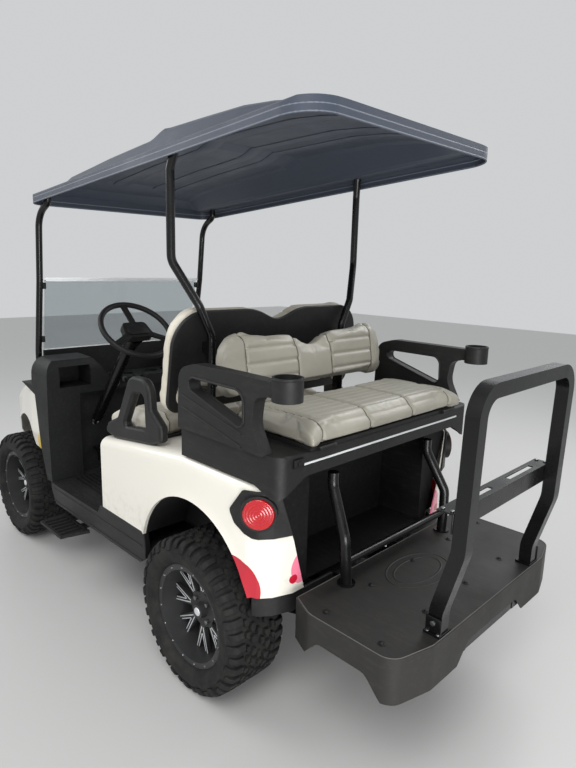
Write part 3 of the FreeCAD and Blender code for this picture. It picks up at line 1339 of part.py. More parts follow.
def roof_section(station, crown, inset, drop):
    """A section across the roof: edge band, shoulder and raised crown."""
    edge = roof_edge(station)
    rim = edge + float(D.roof_rim) - inset
    half = float(D.roof_half) - inset
    x = float(ahead(sized(station)))
    right = [(half, edge - drop), (half, rim - 10), (half - 14, rim)]
    right += [(float(D.crown_half) + offset - inset, rim + crown * share) for offset, share in CROWN_SIDE]
    points = [Vector(x, y, z) for y, z in right] + [Vector(x, -y, z) for y, z in reversed(right)]
    return Part.makePolygon(points + points[:1])


def roof_loft(inset, drop):
    """The roof's solid inside rounded corners, smaller by inset on every side."""
    wires = []
    for index, (station, crown) in enumerate(ROOF_STATIONS):
        shift = -inset if index == 0 else inset if index == len(ROOF_STATIONS) - 1 else 0
        wires.append(roof_section(station + shift, crown, inset, drop))
    front = D.roof_front - inset
    rear = D.roof_rear + inset
    half = D.roof_half - inset
    plan = profile(f"roof_plan_{inset:.0f}", "xy", (
        (ahead(front), -half, D.roof_front_round - inset), (ahead(front), half, D.roof_front_round - inset),
        (ahead(rear), half, D.roof_rear_round - inset), (ahead(rear), -half, D.roof_rear_round - inset),
    ), D.roof_edge_front - 100, D.roof_edge_rear + 300)
    return Part.makeLoft(wires, True, True).common(plan.Shape)


roof_shell = roof_loft(0.0, 0).cut(roof_loft(float(D.roof_wall), 5))
node("roof", shape_object("roof_shell", roof_shell))

# Roof struts

strut_r = float(D.strut_radius)


def under_roof(tube, station, side):
    """The part of a tube that lies under the roof's flat border at a station and a side."""
    reach = 60
    corners = []
    for x, y in ((-reach, -reach), (reach, -reach), (reach, reach), (-reach, reach)):
        height = roof_edge(station + x) + float(D.roof_rim - D.roof_wall - D.seat_gap)
        corners.append(spot(sized(station + x), side + y, sized(height)))
    above = Part.Face(Part.makePolygon(corners + corners[:1])).extrude(Vector(0, 0, 200))
    return max(tube.cut(above).Solids, key=lambda solid: solid.Volume)


def flange(point, radius, thick):
    """A round foot plate standing at a point."""
    return Part.makeCylinder(radius, thick, point)


plate = 5
strut_side = 495
strut_end = sized(1295)
strut_foot = spot(D.glass_low_ahead + 7, D.strut_half, D.scuttle_height + D.seat_gap)
front_strut = round_tube([
    strut_foot + Vector(0, 0, 2),
    spot(D.glass_low_ahead, D.strut_half, D.glass_low),
    spot(D.glass_fold_ahead, D.strut_half, D.glass_fold),
    spot(D.strut_top_ahead, D.strut_half, D.strut_top - 20),
    spot(strut_end, strut_side, sized(roof_edge(1340))),
    spot(strut_end, strut_side, sized(roof_edge(1295) + 80)),
], [200, 400, 120, 30], strut_r)
front_strut = under_roof(front_strut, float(strut_end), strut_side).fuse(flange(strut_foot, strut_r + 10, plate))


def strut_pair(label, shape):
    """A strut and its mirror image as one sub-part."""
    left_strut = shape_object(f"{label}_left", shape)
    pair = doc.addObject("Part::Compound", f"{label}_pair")
    pair.Links = [left_strut, mirrored(f"{label}_right", left_strut)]
    node(label, pair)


strut_pair("front_struts", front_strut)

# Front seat: a board and cushion that lift together about the rear edge

hinge_height = deck_level(D.lid_hinge) + D.lid_hinge_lift
board_rear = D.lid_hinge + D.hinge_radius + 3
board_low_rear = deck_level(board_rear) + D.seat_gap
board_low_front = deck_level(D.body_front) + D.seat_gap
lid_slope = (board_low_rear - board_low_front) / (D.body_front - board_rear)
board_end = D.lid_front - 12
board_low_end = board_low_rear - lid_slope * (board_end - board_rear)


def lid_outline(rear, front, lift, thick, corner):
    """A slab that follows the sloping deck, between two stations."""
    low_rear = board_low_rear - lid_slope * (rear - board_rear) + lift
    low_front = board_low_rear - lid_slope * (front - board_rear) + lift
    return ((ahead(rear), low_rear), (ahead(front), low_front), (ahead(front), low_front + thick, corner),
            (ahead(rear), low_rear + thick, corner))


board = profile("front_board", "xz", lid_outline(board_rear, board_end, sized(0), D.lid_board, 2),
                -D.lid_half + 15, D.lid_half - 15)
lid_barrels = [rod(f"lid_barrel_{side}", "y", (ahead(D.lid_hinge), hinge_height), D.hinge_radius,
                   *sorted((sized(300 * sign), sized(360 * sign)), key=float)) for side, sign in SIDES]
lid_tabs = [box(f"lid_tab_{side}", (ahead(D.lid_hinge), ahead(board_rear) + 2),
                tuple(sorted((sized(300 * sign), sized(360 * sign)), key=float)),
                (hinge_height - 3, hinge_height + 0.5)) for side, sign in SIDES]
lid_pins = [rod(f"lid_pin_{side}", "y", (ahead(D.lid_hinge), hinge_height), D.hinge_pin_radius,
                *sorted((sized(290 * sign), sized(370 * sign)), key=float)) for side, sign in SIDES]
node("front_seat_board", fuse("front_seat_board", board, *lid_barrels, *lid_tabs, *lid_pins))
node("front_seat_cushion", profile(
    "front_cushion", "xz", lid_outline(board_rear, D.lid_front, D.lid_board + D.seat_gap, D.cushion_thick, 25),
    -D.lid_half, D.lid_half))
lid_ears = []
for side, sign in SIDES:
    for number, start in enumerate((290, 360.3)):
        low, high = sorted((sized(start * sign), sized((start + 9.7) * sign)), key=float)
        ear = fuse(f"lid_ear_{side}_{number}",
                   rod(f"lid_ear_round_{side}_{number}", "y", (ahead(D.lid_hinge), hinge_height),
                       D.hinge_radius, low, high),
                   box(f"lid_ear_foot_{side}_{number}", (ahead(D.lid_hinge) - 12, ahead(D.lid_hinge)),
                       (low, high), (deck_level(D.lid_hinge - 12) + D.seat_gap, hinge_height + 3)))
        bore = rod(f"lid_ear_bore_{side}_{number}", "y", (ahead(D.lid_hinge), hinge_height),
                   D.hinge_pin_radius + D.bore_gap, low - 1, high + 1)
        lid_ears.append(cut(f"lid_ear_bored_{side}_{number}", ear, bore))
lid_hinges = doc.addObject("Part::Compound", "lid_hinge_set")
lid_hinges.Links = lid_ears
node("front_seat_hinges", lid_hinges)


def seat_back(name, half, tall, thick, corner, shoulder):
    """A seat back standing on the XY plane with two smooth humps, its face at x = 0."""
    corners = (
        (-half, 0, corner), (half, 0, corner), (half, tall, shoulder), (half * 0.25, tall, D.back_hump),
        (sized(0), tall - D.back_dip, D.back_valley), (-half * 0.25, tall, D.back_hump), (-half, tall, shoulder),
    )
    return profile(name, "yz", corners, 0, thick)


# Front seat back: cushion in front, moulded shell behind
front_lean = Rotation(Vector(0, 1, 0), -float(D.front_back_lean))
cushion = seat_back("front_back_pad", D.front_back_half, D.front_back_tall, D.back_thick, D.back_corner,
                    D.back_shoulder)
cushion_rear = ahead(D.front_back_ahead) - D.back_thick * cosine(D.front_back_lean)
node("front_seat_back", place(cushion, cushion_rear, 0, D.front_back_low, turn=front_lean))
shell_back = seat_back("front_back_shell", D.front_back_half, D.front_back_tall, D.shell_thick, D.back_corner,
                       D.back_shoulder)
shell_shift = D.shell_thick + D.seat_gap
node("front_seat_shell", place(shell_back, cushion_rear - shell_shift * cosine(D.front_back_lean), 0,
                               D.front_back_low - shell_shift * sine(D.front_back_lean), turn=front_lean))

# Rear struts with the brackets that carry the seat back

def shell_rear(level):
    """Rear face of the seat back's shell at a height, ahead of the rear axle."""
    rise = level - D.front_back_low + shell_shift * sine(D.front_back_lean)
    slope = sine(D.front_back_lean) / cosine(D.front_back_lean)
    return cushion_rear - rear_axle - shell_shift * cosine(D.front_back_lean) - rise * slope


rear_foot = spot(D.rear_strut_foot, D.rear_strut_half, deck_level(D.rear_strut_foot - D.strut_radius) + D.seat_gap)
rear_end = D.rear_strut_ahead - 22
rear_strut = under_roof(round_tube([
    rear_foot,
    spot(D.rear_strut_foot, D.rear_strut_half, sized(1290)),
    spot(D.rear_strut_foot + 3, D.rear_strut_half + 56, D.rear_strut_knee),
    spot(D.rear_strut_ahead, sized(518), D.rear_strut_bend),
    spot(D.rear_strut_ahead, sized(518), sized(1875)),
    spot(rear_end, strut_side, sized(roof_edge(200) + 80)),
], [60, 60, 80, 60], strut_r), float(rear_end), strut_side)
for level in (D.seat_bracket_low, D.seat_bracket_high):
    bracket_rear = spot(D.rear_strut_foot, D.rear_strut_half - D.seat_bracket_half, level)
    reach = float(shell_rear(level + D.seat_bracket_tall) - D.seat_gap - D.rear_strut_foot)
    rear_strut = rear_strut.fuse(Part.makeBox(reach, float(D.seat_bracket_half) * 2,
                                              float(D.seat_bracket_tall), bracket_rear))
strut_pair("rear_struts", rear_strut)

# Hip restraints: a loop with a cut-out on each side of the front seat
# Side outline: (offset from the rear end, height above the deck, rounding); "top" is the loop's height
HIP_CORNERS = (
    (0, 18, 15), (70, 0, 0), (350, 0, 0), (440, 26, 16), (412, 70, 24), (330, 96, 40), (225, "top", 62),
    (84, "top", 62), (72, 142, 20), (0, 78, 24),
)
HIP_HOLE = ((112, 62, 14), (282, 62, 14), (195, 205, 34), (118, 205, 26))


def hip_corner(offset, rise, rounding):
    """A corner of a hip restraint's side outline, standing on the sloping deck."""
    station = D.hip_rear + offset
    if rise == "top":
        return (ahead(station), deck_level(D.hip_rear) + D.hip_tall, rounding)
    level = deck_level(station) + max(rise, float(D.seat_gap))
    return (ahead(station), level, rounding) if rounding else (ahead(station), level)


hip_outline = tuple(hip_corner(*corner) for corner in HIP_CORNERS)
hip_hole = tuple(hip_corner(*corner) for corner in HIP_HOLE)
hip_left = cut("hip", profile("hip_block", "xz", hip_outline, D.hip_in, D.hip_in + D.hip_thick),
               profile("hip_gap", "xz", hip_hole, D.hip_in - 1, D.hip_in + D.hip_thick + 1))
both_sides("hip_restraint", hip_left)

# Rear seat tray: a shell open underneath, standing on the deck

tray_low = D.deck_height + D.seat_gap
tray_top = D.deck_height + D.tray_tall
corner_low = D.deck_height - D.tray_drop
tray_outline = (
    (ahead(D.tray_rear), -D.tray_half, D.tray_corner), (ahead(D.tray_front), -D.tray_half),
    (ahead(D.tray_front), D.tray_half), (ahead(D.tray_rear), D.tray_half, D.tray_corner),
)
tray_space_outline = (
    (ahead(D.tray_rear) + D.tray_wall, -D.tray_half + D.tray_wall, D.tray_corner - D.tray_wall),
    (ahead(D.tray_front) - D.tray_wall, -D.tray_half + D.tray_wall),
    (ahead(D.tray_front) - D.tray_wall, D.tray_half - D.tray_wall),
    (ahead(D.tray_rear) + D.tray_wall, D.tray_half - D.tray_wall, D.tray_corner - D.tray_wall),
)
# Side outline: the rear corners sweep down outside the body
tray_side_outline = (
    (ahead(D.tray_front), tray_low), (ahead(D.tray_front), tray_top), (ahead(D.tray_rear), tray_top, D.tray_edge),
    (ahead(D.tray_rear), corner_low, 8), (ahead(D.tray_rear) + 22, corner_low, 8), (ahead(sized(-302)), tray_low),
)
# The middle of the rear face ends above the foot posts
tray_mouth_outline = (
    (-D.tray_half + 10, corner_low - 2), (-D.flip_half, tray_low + D.tray_raise, 25),
    (D.flip_half, tray_low + D.tray_raise, 25), (D.tray_half - 10, corner_low - 2),
)
flip_height = tray_top + D.flip_hinge_lift
tray_block = common("tray", profile("tray_block", "xy", tray_outline, corner_low, tray_top),
                    profile("tray_side", "xz", tray_side_outline, -D.tray_half - 1, D.tray_half + 1))
tray_shell = cut("tray_shell", tray_block,
                 profile("tray_space", "xy", tray_space_outline, corner_low - 1, tray_top - D.tray_wall),
                 profile("tray_mouth", "yz", tray_mouth_outline, ahead(D.tray_rear) - 1, ahead(D.tray_rear) + 20))
flip_ears = []
for side, sign in SIDES:
    for number, start in enumerate((330, 400.3)):
        low, high = sorted((sized(start * sign), sized((start + 9.7) * sign)), key=float)
        flip_ears.append(rod(f"flip_ear_{side}_{number}", "y", (ahead(D.flip_hinge), flip_height),
                             D.hinge_radius, low, high))
        flip_ears.append(box(f"flip_ear_arm_{side}_{number}", (ahead(D.flip_hinge), ahead(D.tray_rear) + D.tray_edge),
                             (low, high), (flip_height - D.hinge_radius, tray_top)))
flip_bores = [rod(f"flip_bore_{side}", "y", (ahead(D.flip_hinge), flip_height), D.hinge_pin_radius + D.bore_gap,
                  *sorted((sized(320 * sign), sized(420 * sign)), key=float)) for side, sign in SIDES]
node("rear_seat_tray", cut("rear_seat_tray", fuse("tray", tray_shell, *flip_ears), *flip_bores))

# Rear seat: board and cushion that flip over the foot deck
flip_low = tray_top + D.seat_gap
flip_rear = D.flip_hinge + D.hinge_radius + 2
flip_board = box("flip_board_plate", (ahead(flip_rear), ahead(D.flip_front)), (-D.flip_half + 10, D.flip_half - 10),
                 (flip_low, flip_low + D.flip_board))
flip_barrels = []
for side, sign in SIDES:
    low, high = sorted((sized(340 * sign), sized(400 * sign)), key=float)
    flip_barrels.append(rod(f"flip_barrel_{side}", "y", (ahead(D.flip_hinge), flip_height), D.hinge_radius,
                            low, high))
    flip_barrels.append(box(f"flip_tab_{side}", (ahead(D.flip_hinge), ahead(flip_rear) + 4), (low, high),
                            (flip_height - 2, flip_height + 2)))
    low, high = sorted((sized(330 * sign), sized(410 * sign)), key=float)
    flip_barrels.append(rod(f"flip_pin_{side}", "y", (ahead(D.flip_hinge), flip_height), D.hinge_pin_radius,
                            low, high))
node("rear_seat_board", fuse("rear_seat_board", flip_board, *flip_barrels))
flip_cushion_low = flip_low + D.flip_board + D.seat_gap
flip_outline = (
    (ahead(D.flip_hinge - D.flip_overhang), flip_cushion_low), (ahead(D.flip_front), flip_cushion_low),
    (ahead(D.flip_front), flip_cushion_low + D.flip_cushion, 25),
    (ahead(D.flip_hinge - D.flip_overhang), flip_cushion_low + D.flip_cushion, 25),
)
node("rear_seat_cushion", profile("flip_pad", "xz", flip_outline, -D.flip_half, D.flip_half))

# Rear seat back on its steel frame
rear_lean = Rotation(Vector(0, 1, 0), float(D.rear_back_lean))
rear_pad = seat_back("rear_back_pad", D.rear_back_half, D.rear_back_tall, D.rear_back_thick, D.back_corner,
                     D.rear_back_shoulder)
node("rear_seat_back", place(rear_pad, ahead(D.rear_back_ahead), 0, D.rear_back_low, turn=rear_lean))
seat_frame_top = 1176
lean_drop = sine(D.rear_back_lean) / cosine(D.rear_back_lean)
frame_rear = D.rear_back_ahead + D.rear_back_thick / cosine(D.rear_back_lean) \
    + lean_drop * (seat_frame_top - D.rear_back_low) + D.seat_gap
frame_front = frame_rear + D.seat_tube
half_tube = D.seat_tube / 2
seat_frame_parts = [box("seat_crossbar", (ahead(frame_rear), ahead(frame_front)),
                        (-D.rear_strut_half - half_tube, D.rear_strut_half + half_tube),
                        (seat_frame_top - D.seat_tube, seat_frame_top))]
for side, sign in SIDES:
    middle = D.seat_tube_middle * sign
    seat_frame_parts.append(box(f"seat_upright_{side}", (ahead(frame_rear), ahead(frame_front)),
                                (middle - half_tube, middle + half_tube),
                                (tray_top + D.seat_gap, seat_frame_top)))
    middle = D.rear_strut_half * sign
    seat_frame_parts.append(box(f"seat_stay_{side}",
                                (ahead(frame_rear), ahead(D.rear_strut_foot - D.strut_radius) - D.seat_gap),
                                (middle - half_tube, middle + half_tube),
                                (seat_frame_top - D.seat_tube, seat_frame_top)))
node("rear_seat_frame", fuse("rear_seat_frame", *seat_frame_parts))

# Armrests: a loop with a gusset and a cup holder

arm_low_height = tray_top + D.seat_gap
arm_top = D.arm_top
# Side outlines of the loop and of the space in it: (station ahead, height, rounding)
arm_outline = (
    (ahead(sized(82)), arm_low_height), (ahead(sized(74)), arm_top - 26, 60), (ahead(sized(-20)), arm_top, 110),
    (ahead(sized(-372)), arm_top - 2), (ahead(sized(-372)), arm_top - 52, 12), (ahead(sized(-322)), arm_top - 62, 36),
    (ahead(sized(-308)), arm_top - 150, 90), (ahead(sized(-356)), arm_low_height),
)
arm_hole = (
    (ahead(sized(0)), arm_top - 50, 30), (ahead(sized(-262)), arm_top - 52, 34),
    (ahead(sized(-268)), arm_low_height + 62, 20), (ahead(sized(22)), arm_top - 88, 20),
)
cup_centre = (ahead(D.cup_ahead), D.arm_in + D.arm_thick / 2 - 8)
arm_left = cut(
    "arm",
    fuse("arm", cut("arm_loop", profile("arm_block", "xz", arm_outline, D.arm_in, D.arm_in + D.arm_thick),
                    profile("arm_gap", "xz", arm_hole, D.arm_in - 1, D.arm_in + D.arm_thick + 1)),
         rod("cup_outside", "z", cup_centre, D.cup_radius, D.cup_top - D.cup_deep, D.cup_top),
         box("cup_neck", (ahead(D.cup_ahead), ahead(sized(-368))), (D.arm_in, D.arm_in + D.arm_thick),
             (arm_top - 50, arm_top - 2))),
    rod("cup_inside", "z", cup_centre, D.cup_radius - D.cup_wall, D.cup_top - D.cup_deep + D.cup_wall,
        D.cup_top + 1))
both_sides("armrest", arm_left)

# Foot deck: a thin top with a skirt

foot_rear = D.deck_rear
foot_outline = (
    (ahead(D.deck_front), -D.deck_half + 40), (ahead(D.deck_front), D.deck_half - 40),
    (ahead(D.deck_front - 90), D.deck_half, 90), (ahead(foot_rear + 40), D.deck_half, 60),
    (ahead(foot_rear), D.deck_half - 150, 60), (ahead(foot_rear), -D.deck_half + 150, 60),
    (ahead(foot_rear + 40), -D.deck_half, 60), (ahead(D.deck_front - 90), -D.deck_half, 90),
)
skin = D.deck_skin
foot_space_outline = (
    (ahead(D.deck_front) - skin, -D.deck_half + 40 + skin), (ahead(D.deck_front) - skin, D.deck_half - 40 - skin),
    (ahead(D.deck_front - 90), D.deck_half - skin, 84), (ahead(foot_rear + 40) + skin / 2, D.deck_half - skin, 54),
    (ahead(foot_rear) + skin, D.deck_half - 150 - skin / 2, 54), (ahead(foot_rear) + skin, -D.deck_half + 150 + skin / 2, 54),
    (ahead(foot_rear + 40) + skin / 2, -D.deck_half + skin, 54), (ahead(D.deck_front - 90), -D.deck_half + skin, 84),
)
arm_level = (rail_top + D.seat_gap, rail_top + 40)
arm_notches = [box(f"arm_notch_{side}", (ahead(D.deck_front) - skin * 2, ahead(D.deck_front) + 1),
                   (D.rail_middle * sign - half_rail - 1, D.rail_middle * sign + half_rail + 1),
                   (D.deck_skirt - 1, arm_level[1] + 1)) for side, sign in SIDES]
# Arches in the skirt, between lower corners
side_arch = profile("side_arch", "xz", (
    (ahead(D.deck_front - 70), D.deck_skirt - 1), (ahead(D.deck_front - 130), D.deck_arch, 40),
    (ahead(foot_rear + 130), D.deck_arch, 40), (ahead(foot_rear + 70), D.deck_skirt - 1),
), -D.deck_half - 1, D.deck_half + 1)
rear_arch = profile("rear_arch", "yz", (
    (sized(-230), D.deck_skirt - 1), (sized(-170), D.deck_arch, 40), (sized(170), D.deck_arch, 40),
    (sized(230), D.deck_skirt - 1),
), ahead(foot_rear) - 1, ahead(foot_rear) + 60)
node("foot_deck", cut("foot_deck", profile("foot_block", "xy", foot_outline, D.deck_skirt, D.deck_top),
                      profile("foot_space", "xy", foot_space_outline, D.deck_skirt - 1, D.deck_top - skin),
                      side_arch, rear_arch, *arm_notches))

# Frame that carries the foot deck, with its front posts
deck_under = D.deck_top - D.deck_skin - D.seat_gap
deck_frame_parts = []
for side, sign in SIDES:
    middle = D.rail_middle * sign
    deck_frame_parts.append(box(f"deck_arm_{side}", (ahead(D.bar_foot - 22), ahead(D.rail_rear + 90)),
                                (middle - half_rail, middle + half_rail), arm_level))
for number, station in enumerate((D.foot_post_ahead, D.bar_foot)):
    deck_frame_parts.append(box(f"deck_cross_{number}", (ahead(station - 20), ahead(station + 20)),
                                (-D.bar_half - 30, D.bar_half + 30), (arm_level[0], deck_under)))
node("foot_deck_frame", fuse("foot_deck_frame", *deck_frame_parts))
post_foot = spot(D.foot_post_ahead, D.foot_post_middle, D.deck_top + D.seat_gap)
post_left = round_tube([
    post_foot + Vector(0, 0, 3),
    spot(D.foot_post_ahead + 2, D.foot_post_middle + 8, sized(600)),
    spot(D.foot_post_ahead + 6, D.foot_post_middle + 12, sized(672)),
    spot(sized(-388), D.foot_post_middle - 14, sized(830)),
    spot(sized(-388), D.foot_post_middle - 14, tray_low - D.seat_gap),
], [60, 60, 60], float(D.post_round)).fuse(flange(post_foot, float(D.post_round) + 12, plate))
cross_tube = rod("foot_crossbar", "y", (ahead(D.foot_post_ahead + 3), 585), 13,
                 -D.foot_post_middle - 6, D.foot_post_middle + 6)
left_item = shape_object("foot_post_left", post_left)
node("foot_posts", fuse("foot_posts", left_item, mirrored("foot_post_right", left_item), cross_tube))

# Grab bar with its ledge

bar_size = float(D.bar_section)
bar_base = spot(D.bar_foot, D.bar_half, D.deck_top + D.seat_gap)
bar_points = [bar_base + Vector(0, 0, 4),
              spot(D.bar_foot, D.bar_half, D.bar_knee),
              spot(D.bar_bend_ahead, D.bar_half, D.bar_bend),
              spot(D.bar_top_ahead, D.bar_half, D.bar_top - D.bar_section / 2)]
bar_path = bar_points + [Vector(point.x, -point.y, point.z) for point in reversed(bar_points)]
bar = square_tube(bar_path, [130, 130, 75, 75, 130, 130], bar_size, Vector(0, 1, 0))
for sign in (1, -1):
    foot = Part.makeBox(bar_size + 10, bar_size + 24, plate + 3)
    foot.translate(Vector(bar_base.x - bar_size / 2 - 3, bar_base.y * sign - bar_size / 2 - 12, bar_base.z))
    bar = bar.fuse(foot)
node("grab_bar", shape_object("grab_bar_tube", bar))
ledge_low = D.ledge_top - D.ledge_tall
bar_slope = (D.bar_bend_ahead - D.bar_top_ahead) / (D.bar_top - D.bar_section / 2 - D.bar_bend)
ledge_station = D.bar_bend_ahead - bar_slope * (ledge_low - D.bar_bend) + D.bar_section / 2 + D.seat_gap * 2
ledge_plate = box("ledge_plate", (ahead(ledge_station), ahead(ledge_station + D.ledge_out)),
                  (-D.bar_half - 25, D.bar_half + 25), (D.ledge_top - 5, D.ledge_top))
ledge_face = box("ledge_face", (ahead(ledge_station), ahead(ledge_station + 5)),
                 (-D.bar_half - 25, D.bar_half + 25), (ledge_low, D.ledge_top))
ledge_slots = [box(f"ledge_slot_{side}", (ahead(ledge_station + 20), ahead(ledge_station + 38)),
                   tuple(sorted((sized(60 * sign), sized(240 * sign)), key=float)),
                   (D.ledge_top - 6, D.ledge_top + 1)) for side, sign in SIDES]
node("grab_bar_ledge", cut("grab_bar_ledge", fuse("ledge", ledge_plate, ledge_face), *ledge_slots))

# Steering column and wheel

tilt = math.radians(float(D.column_tilt))
column_way = Vector(math.cos(tilt), 0, -math.sin(tilt))
wheel_middle = spot(D.wheel_ahead, D.wheel_side, D.wheel_height)
wall_point = spot(D.foot_front, D.wheel_side, column_wall_height)
column_length = (wall_point - wheel_middle).Length - 34
column_tube = Part.makeCylinder(float(D.column_radius), column_length - 60, wheel_middle + column_way * 60, column_way)
shroud = Part.makeCone(float(D.shroud_radius), float(D.column_radius), 90, wheel_middle + column_way * 46, column_way)
spindle = Part.makeCylinder(float(D.shaft_radius), column_length - 12, wheel_middle + column_way * 12, column_way)
lower_shaft = round_tube([
    wheel_middle + column_way * (column_length - 20), wall_point + column_way * 20,
    spot(sized(1400), sized(165), sized(600)), spot(tie_ahead - 4, sized(105), sized(300)),
    spot(tie_ahead, sized(105), tie_height + D.tie_rod_radius + D.rack_wall * 2 + D.seat_gap),
], [40, 40, 10], float(D.shaft_radius) - 0.5)
column = column_tube.fuse([shroud, spindle, lower_shaft])
node("steering_column", shape_object("steering_column_solid", column.removeSplitter()))
rim_ring = Part.makeTorus(float(D.wheel_radius), float(D.wheel_grip), wheel_middle, column_way)
spokes = []
side_way = Vector(0, 1, 0)
up_way = column_way.cross(side_way)
pad_half = side_way * (float(D.pad_wide) / 2)
pad_rise = up_way * (float(D.pad_tall) / 2)
pad_middle = wheel_middle - column_way * 4
pad_wire = rounded_wire([(pad_middle + pad_half * across + pad_rise * rise, True)
                         for across, rise in ((-1, -1), (1, -1), (0.8, 1), (-0.8, 1))], 22)
hub = Part.Face(pad_wire).extrude(column_way * 34)
for angle in (90, 210, 330):
    way = side_way * math.cos(math.radians(angle)) + up_way * math.sin(math.radians(angle))
    spoke = Part.makeBox(float(D.wheel_radius) - 40, 30, 8)
    spoke.translate(Vector(36, -15, -4))
    matrix = FreeCAD.Matrix()
    across = column_way.cross(way)
    matrix.A11, matrix.A21, matrix.A31 = way.x, way.y, way.z
    matrix.A12, matrix.A22, matrix.A32 = across.x, across.y, across.z
    matrix.A13, matrix.A23, matrix.A33 = column_way.x, column_way.y, column_way.z
    matrix.A14, matrix.A24, matrix.A34 = wheel_middle.x, wheel_middle.y, wheel_middle.z
    spokes.append(spoke.transformGeometry(matrix))
hub_bore = Part.makeCylinder(float(D.shaft_radius + D.bore_gap), 60, wheel_middle + column_way * 11.5, column_way)
node("steering_wheel", shape_object("steering_wheel_solid", rim_ring.fuse([hub] + spokes).cut(hub_bore).removeSplitter()))

# Pedals hanging from the front wall of the footwell
pedal_parts = []
for number, middle in enumerate((190, 310)):
    face = box(f"pedal_{number}", (ahead(D.pedal_ahead), ahead(D.pedal_ahead + D.pedal_thick)),
               (sized(middle) - D.pedal_wide / 2, sized(middle) + D.pedal_wide / 2),
               (D.pedal_height - D.pedal_tall / 2, D.pedal_height + D.pedal_tall / 2))
    stem = box(f"pedal_stem_{number}", (ahead(D.pedal_ahead + D.pedal_thick), ahead(D.foot_front) - D.seat_gap),
               (sized(middle) - 8, sized(middle) + 8), (D.pedal_height - 10, D.pedal_height + 10))
    pedal_parts.append(fuse(f"pedal_{number}", face, stem))
pedals = doc.addObject("Part::Compound", "pedal_set")
pedals.Links = pedal_parts
node("pedals", pedals)

doc.recompute()

# Checks before anything is written
failed = [item.Label for item in doc.Objects if "Invalid" in item.State or "Error" in item.State]
if failed:
    raise RuntimeError(f"objects that failed: {failed}")
broken = [name for name, item in nodes.items() if item.Shape.isNull() or not item.Shape.isValid()]
if broken:
    raise RuntimeError(f"sub-parts without a valid shape: {broken}")

os.makedirs("parts", exist_ok=True)
for name, item in nodes.items():
    item.Shape.exportStep(f"parts/{name}.step")
    bounds = item.Shape.BoundBox
    print(f"{name}: {len(item.Shape.Solids)} solids, {item.Shape.Volume / 1000:.1f} cm3, "
          f"x {bounds.XMin:.1f} {bounds.XMax:.1f} y {bounds.YMin:.1f} {bounds.YMax:.1f} "
          f"z {bounds.ZMin:.1f} {bounds.ZMax:.1f}")
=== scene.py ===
"""Looks of a four-seat golf cart, dressed over its fixed frame.

Lengths are metres. +X is forward, +Y is left, +Z is up, and the origin is on the floor at mid-length.
Stations called "ahead" are measured forward from the rear axle.
"""

from __future__ import annotations

import json
import logging
import math
from dataclasses import dataclass, field
from enum import Enum
from typing import Sequence

import bmesh
import bpy
from mathutils import Matrix, Vector
from mathutils.bvhtree import BVHTree

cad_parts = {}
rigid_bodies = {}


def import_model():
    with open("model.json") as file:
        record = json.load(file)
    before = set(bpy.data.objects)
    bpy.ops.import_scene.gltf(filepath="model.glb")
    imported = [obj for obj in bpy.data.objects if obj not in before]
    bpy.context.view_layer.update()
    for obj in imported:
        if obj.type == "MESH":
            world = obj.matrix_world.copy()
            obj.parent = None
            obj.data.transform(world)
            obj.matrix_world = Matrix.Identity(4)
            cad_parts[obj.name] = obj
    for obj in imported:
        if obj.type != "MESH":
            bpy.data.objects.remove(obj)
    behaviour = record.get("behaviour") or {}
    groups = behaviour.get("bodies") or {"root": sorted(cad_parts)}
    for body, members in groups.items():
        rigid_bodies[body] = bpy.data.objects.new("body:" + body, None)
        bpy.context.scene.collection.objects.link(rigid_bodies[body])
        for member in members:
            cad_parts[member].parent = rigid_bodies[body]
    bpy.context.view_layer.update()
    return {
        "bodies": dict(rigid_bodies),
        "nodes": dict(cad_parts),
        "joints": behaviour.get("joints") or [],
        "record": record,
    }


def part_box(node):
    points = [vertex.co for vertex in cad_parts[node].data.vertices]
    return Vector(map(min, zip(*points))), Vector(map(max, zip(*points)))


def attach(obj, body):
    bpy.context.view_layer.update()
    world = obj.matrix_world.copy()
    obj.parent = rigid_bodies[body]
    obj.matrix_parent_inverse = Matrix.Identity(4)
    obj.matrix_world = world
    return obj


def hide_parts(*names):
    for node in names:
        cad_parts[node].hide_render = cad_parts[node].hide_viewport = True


LOG = logging.getLogger("golf_cart")
REAR_AXLE = -0.594
UP = Vector((0, 0, 1))
LEFTWARD = Vector((0, 1, 0))
FORWARD = Vector((1, 0, 0))

Point = Sequence[float]
Profile = Sequence[tuple[float, float]]
NodeSocket = bpy.types.NodeSocket
Verts = list[bmesh.types.BMVert]


class Side(Enum):
    """The two sides of the cart, with the sign of their Y."""

    LEFT = 1
    RIGHT = -1

    @property
    def label(self) -> str:
        """The side's name as it stands in node names."""
        return self.name.lower()


class Corner(Enum):
    """The four wheels: node name ending and side."""

    FRONT_LEFT = ("front_left", Side.LEFT)
    FRONT_RIGHT = ("front_right", Side.RIGHT)
    REAR_LEFT = ("rear_left", Side.LEFT)
    REAR_RIGHT = ("rear_right", Side.RIGHT)

    @property
    def label(self) -> str:
        """The ending of the corner's node names."""
        return self.value[0]

    @property
    def sign(self) -> int:
        """The sign of the corner's outward Y."""
        return self.value[1].value


def ahead(station: float) -> float:
    """The X of a station measured forward from the rear axle."""
    return REAR_AXLE + station


# Shader nodes


def linear(hex_colour: str) -> tuple[float, float, float, float]:
    """Turn a written sRGB colour into the linear values that a shader takes.

    Args:
        hex_colour: Six hexadecimal digits.

    Returns:
        Linear red, green, blue and an alpha of 1.
    """
    values = [int(hex_colour[i:i + 2], 16) / 255 for i in (0, 2, 4)]
    red, green, blue = (v / 12.92 if v <= 0.04045 else ((v + 0.055) / 1.055) ** 2.4 for v in values)
    return red, green, blue, 1.0


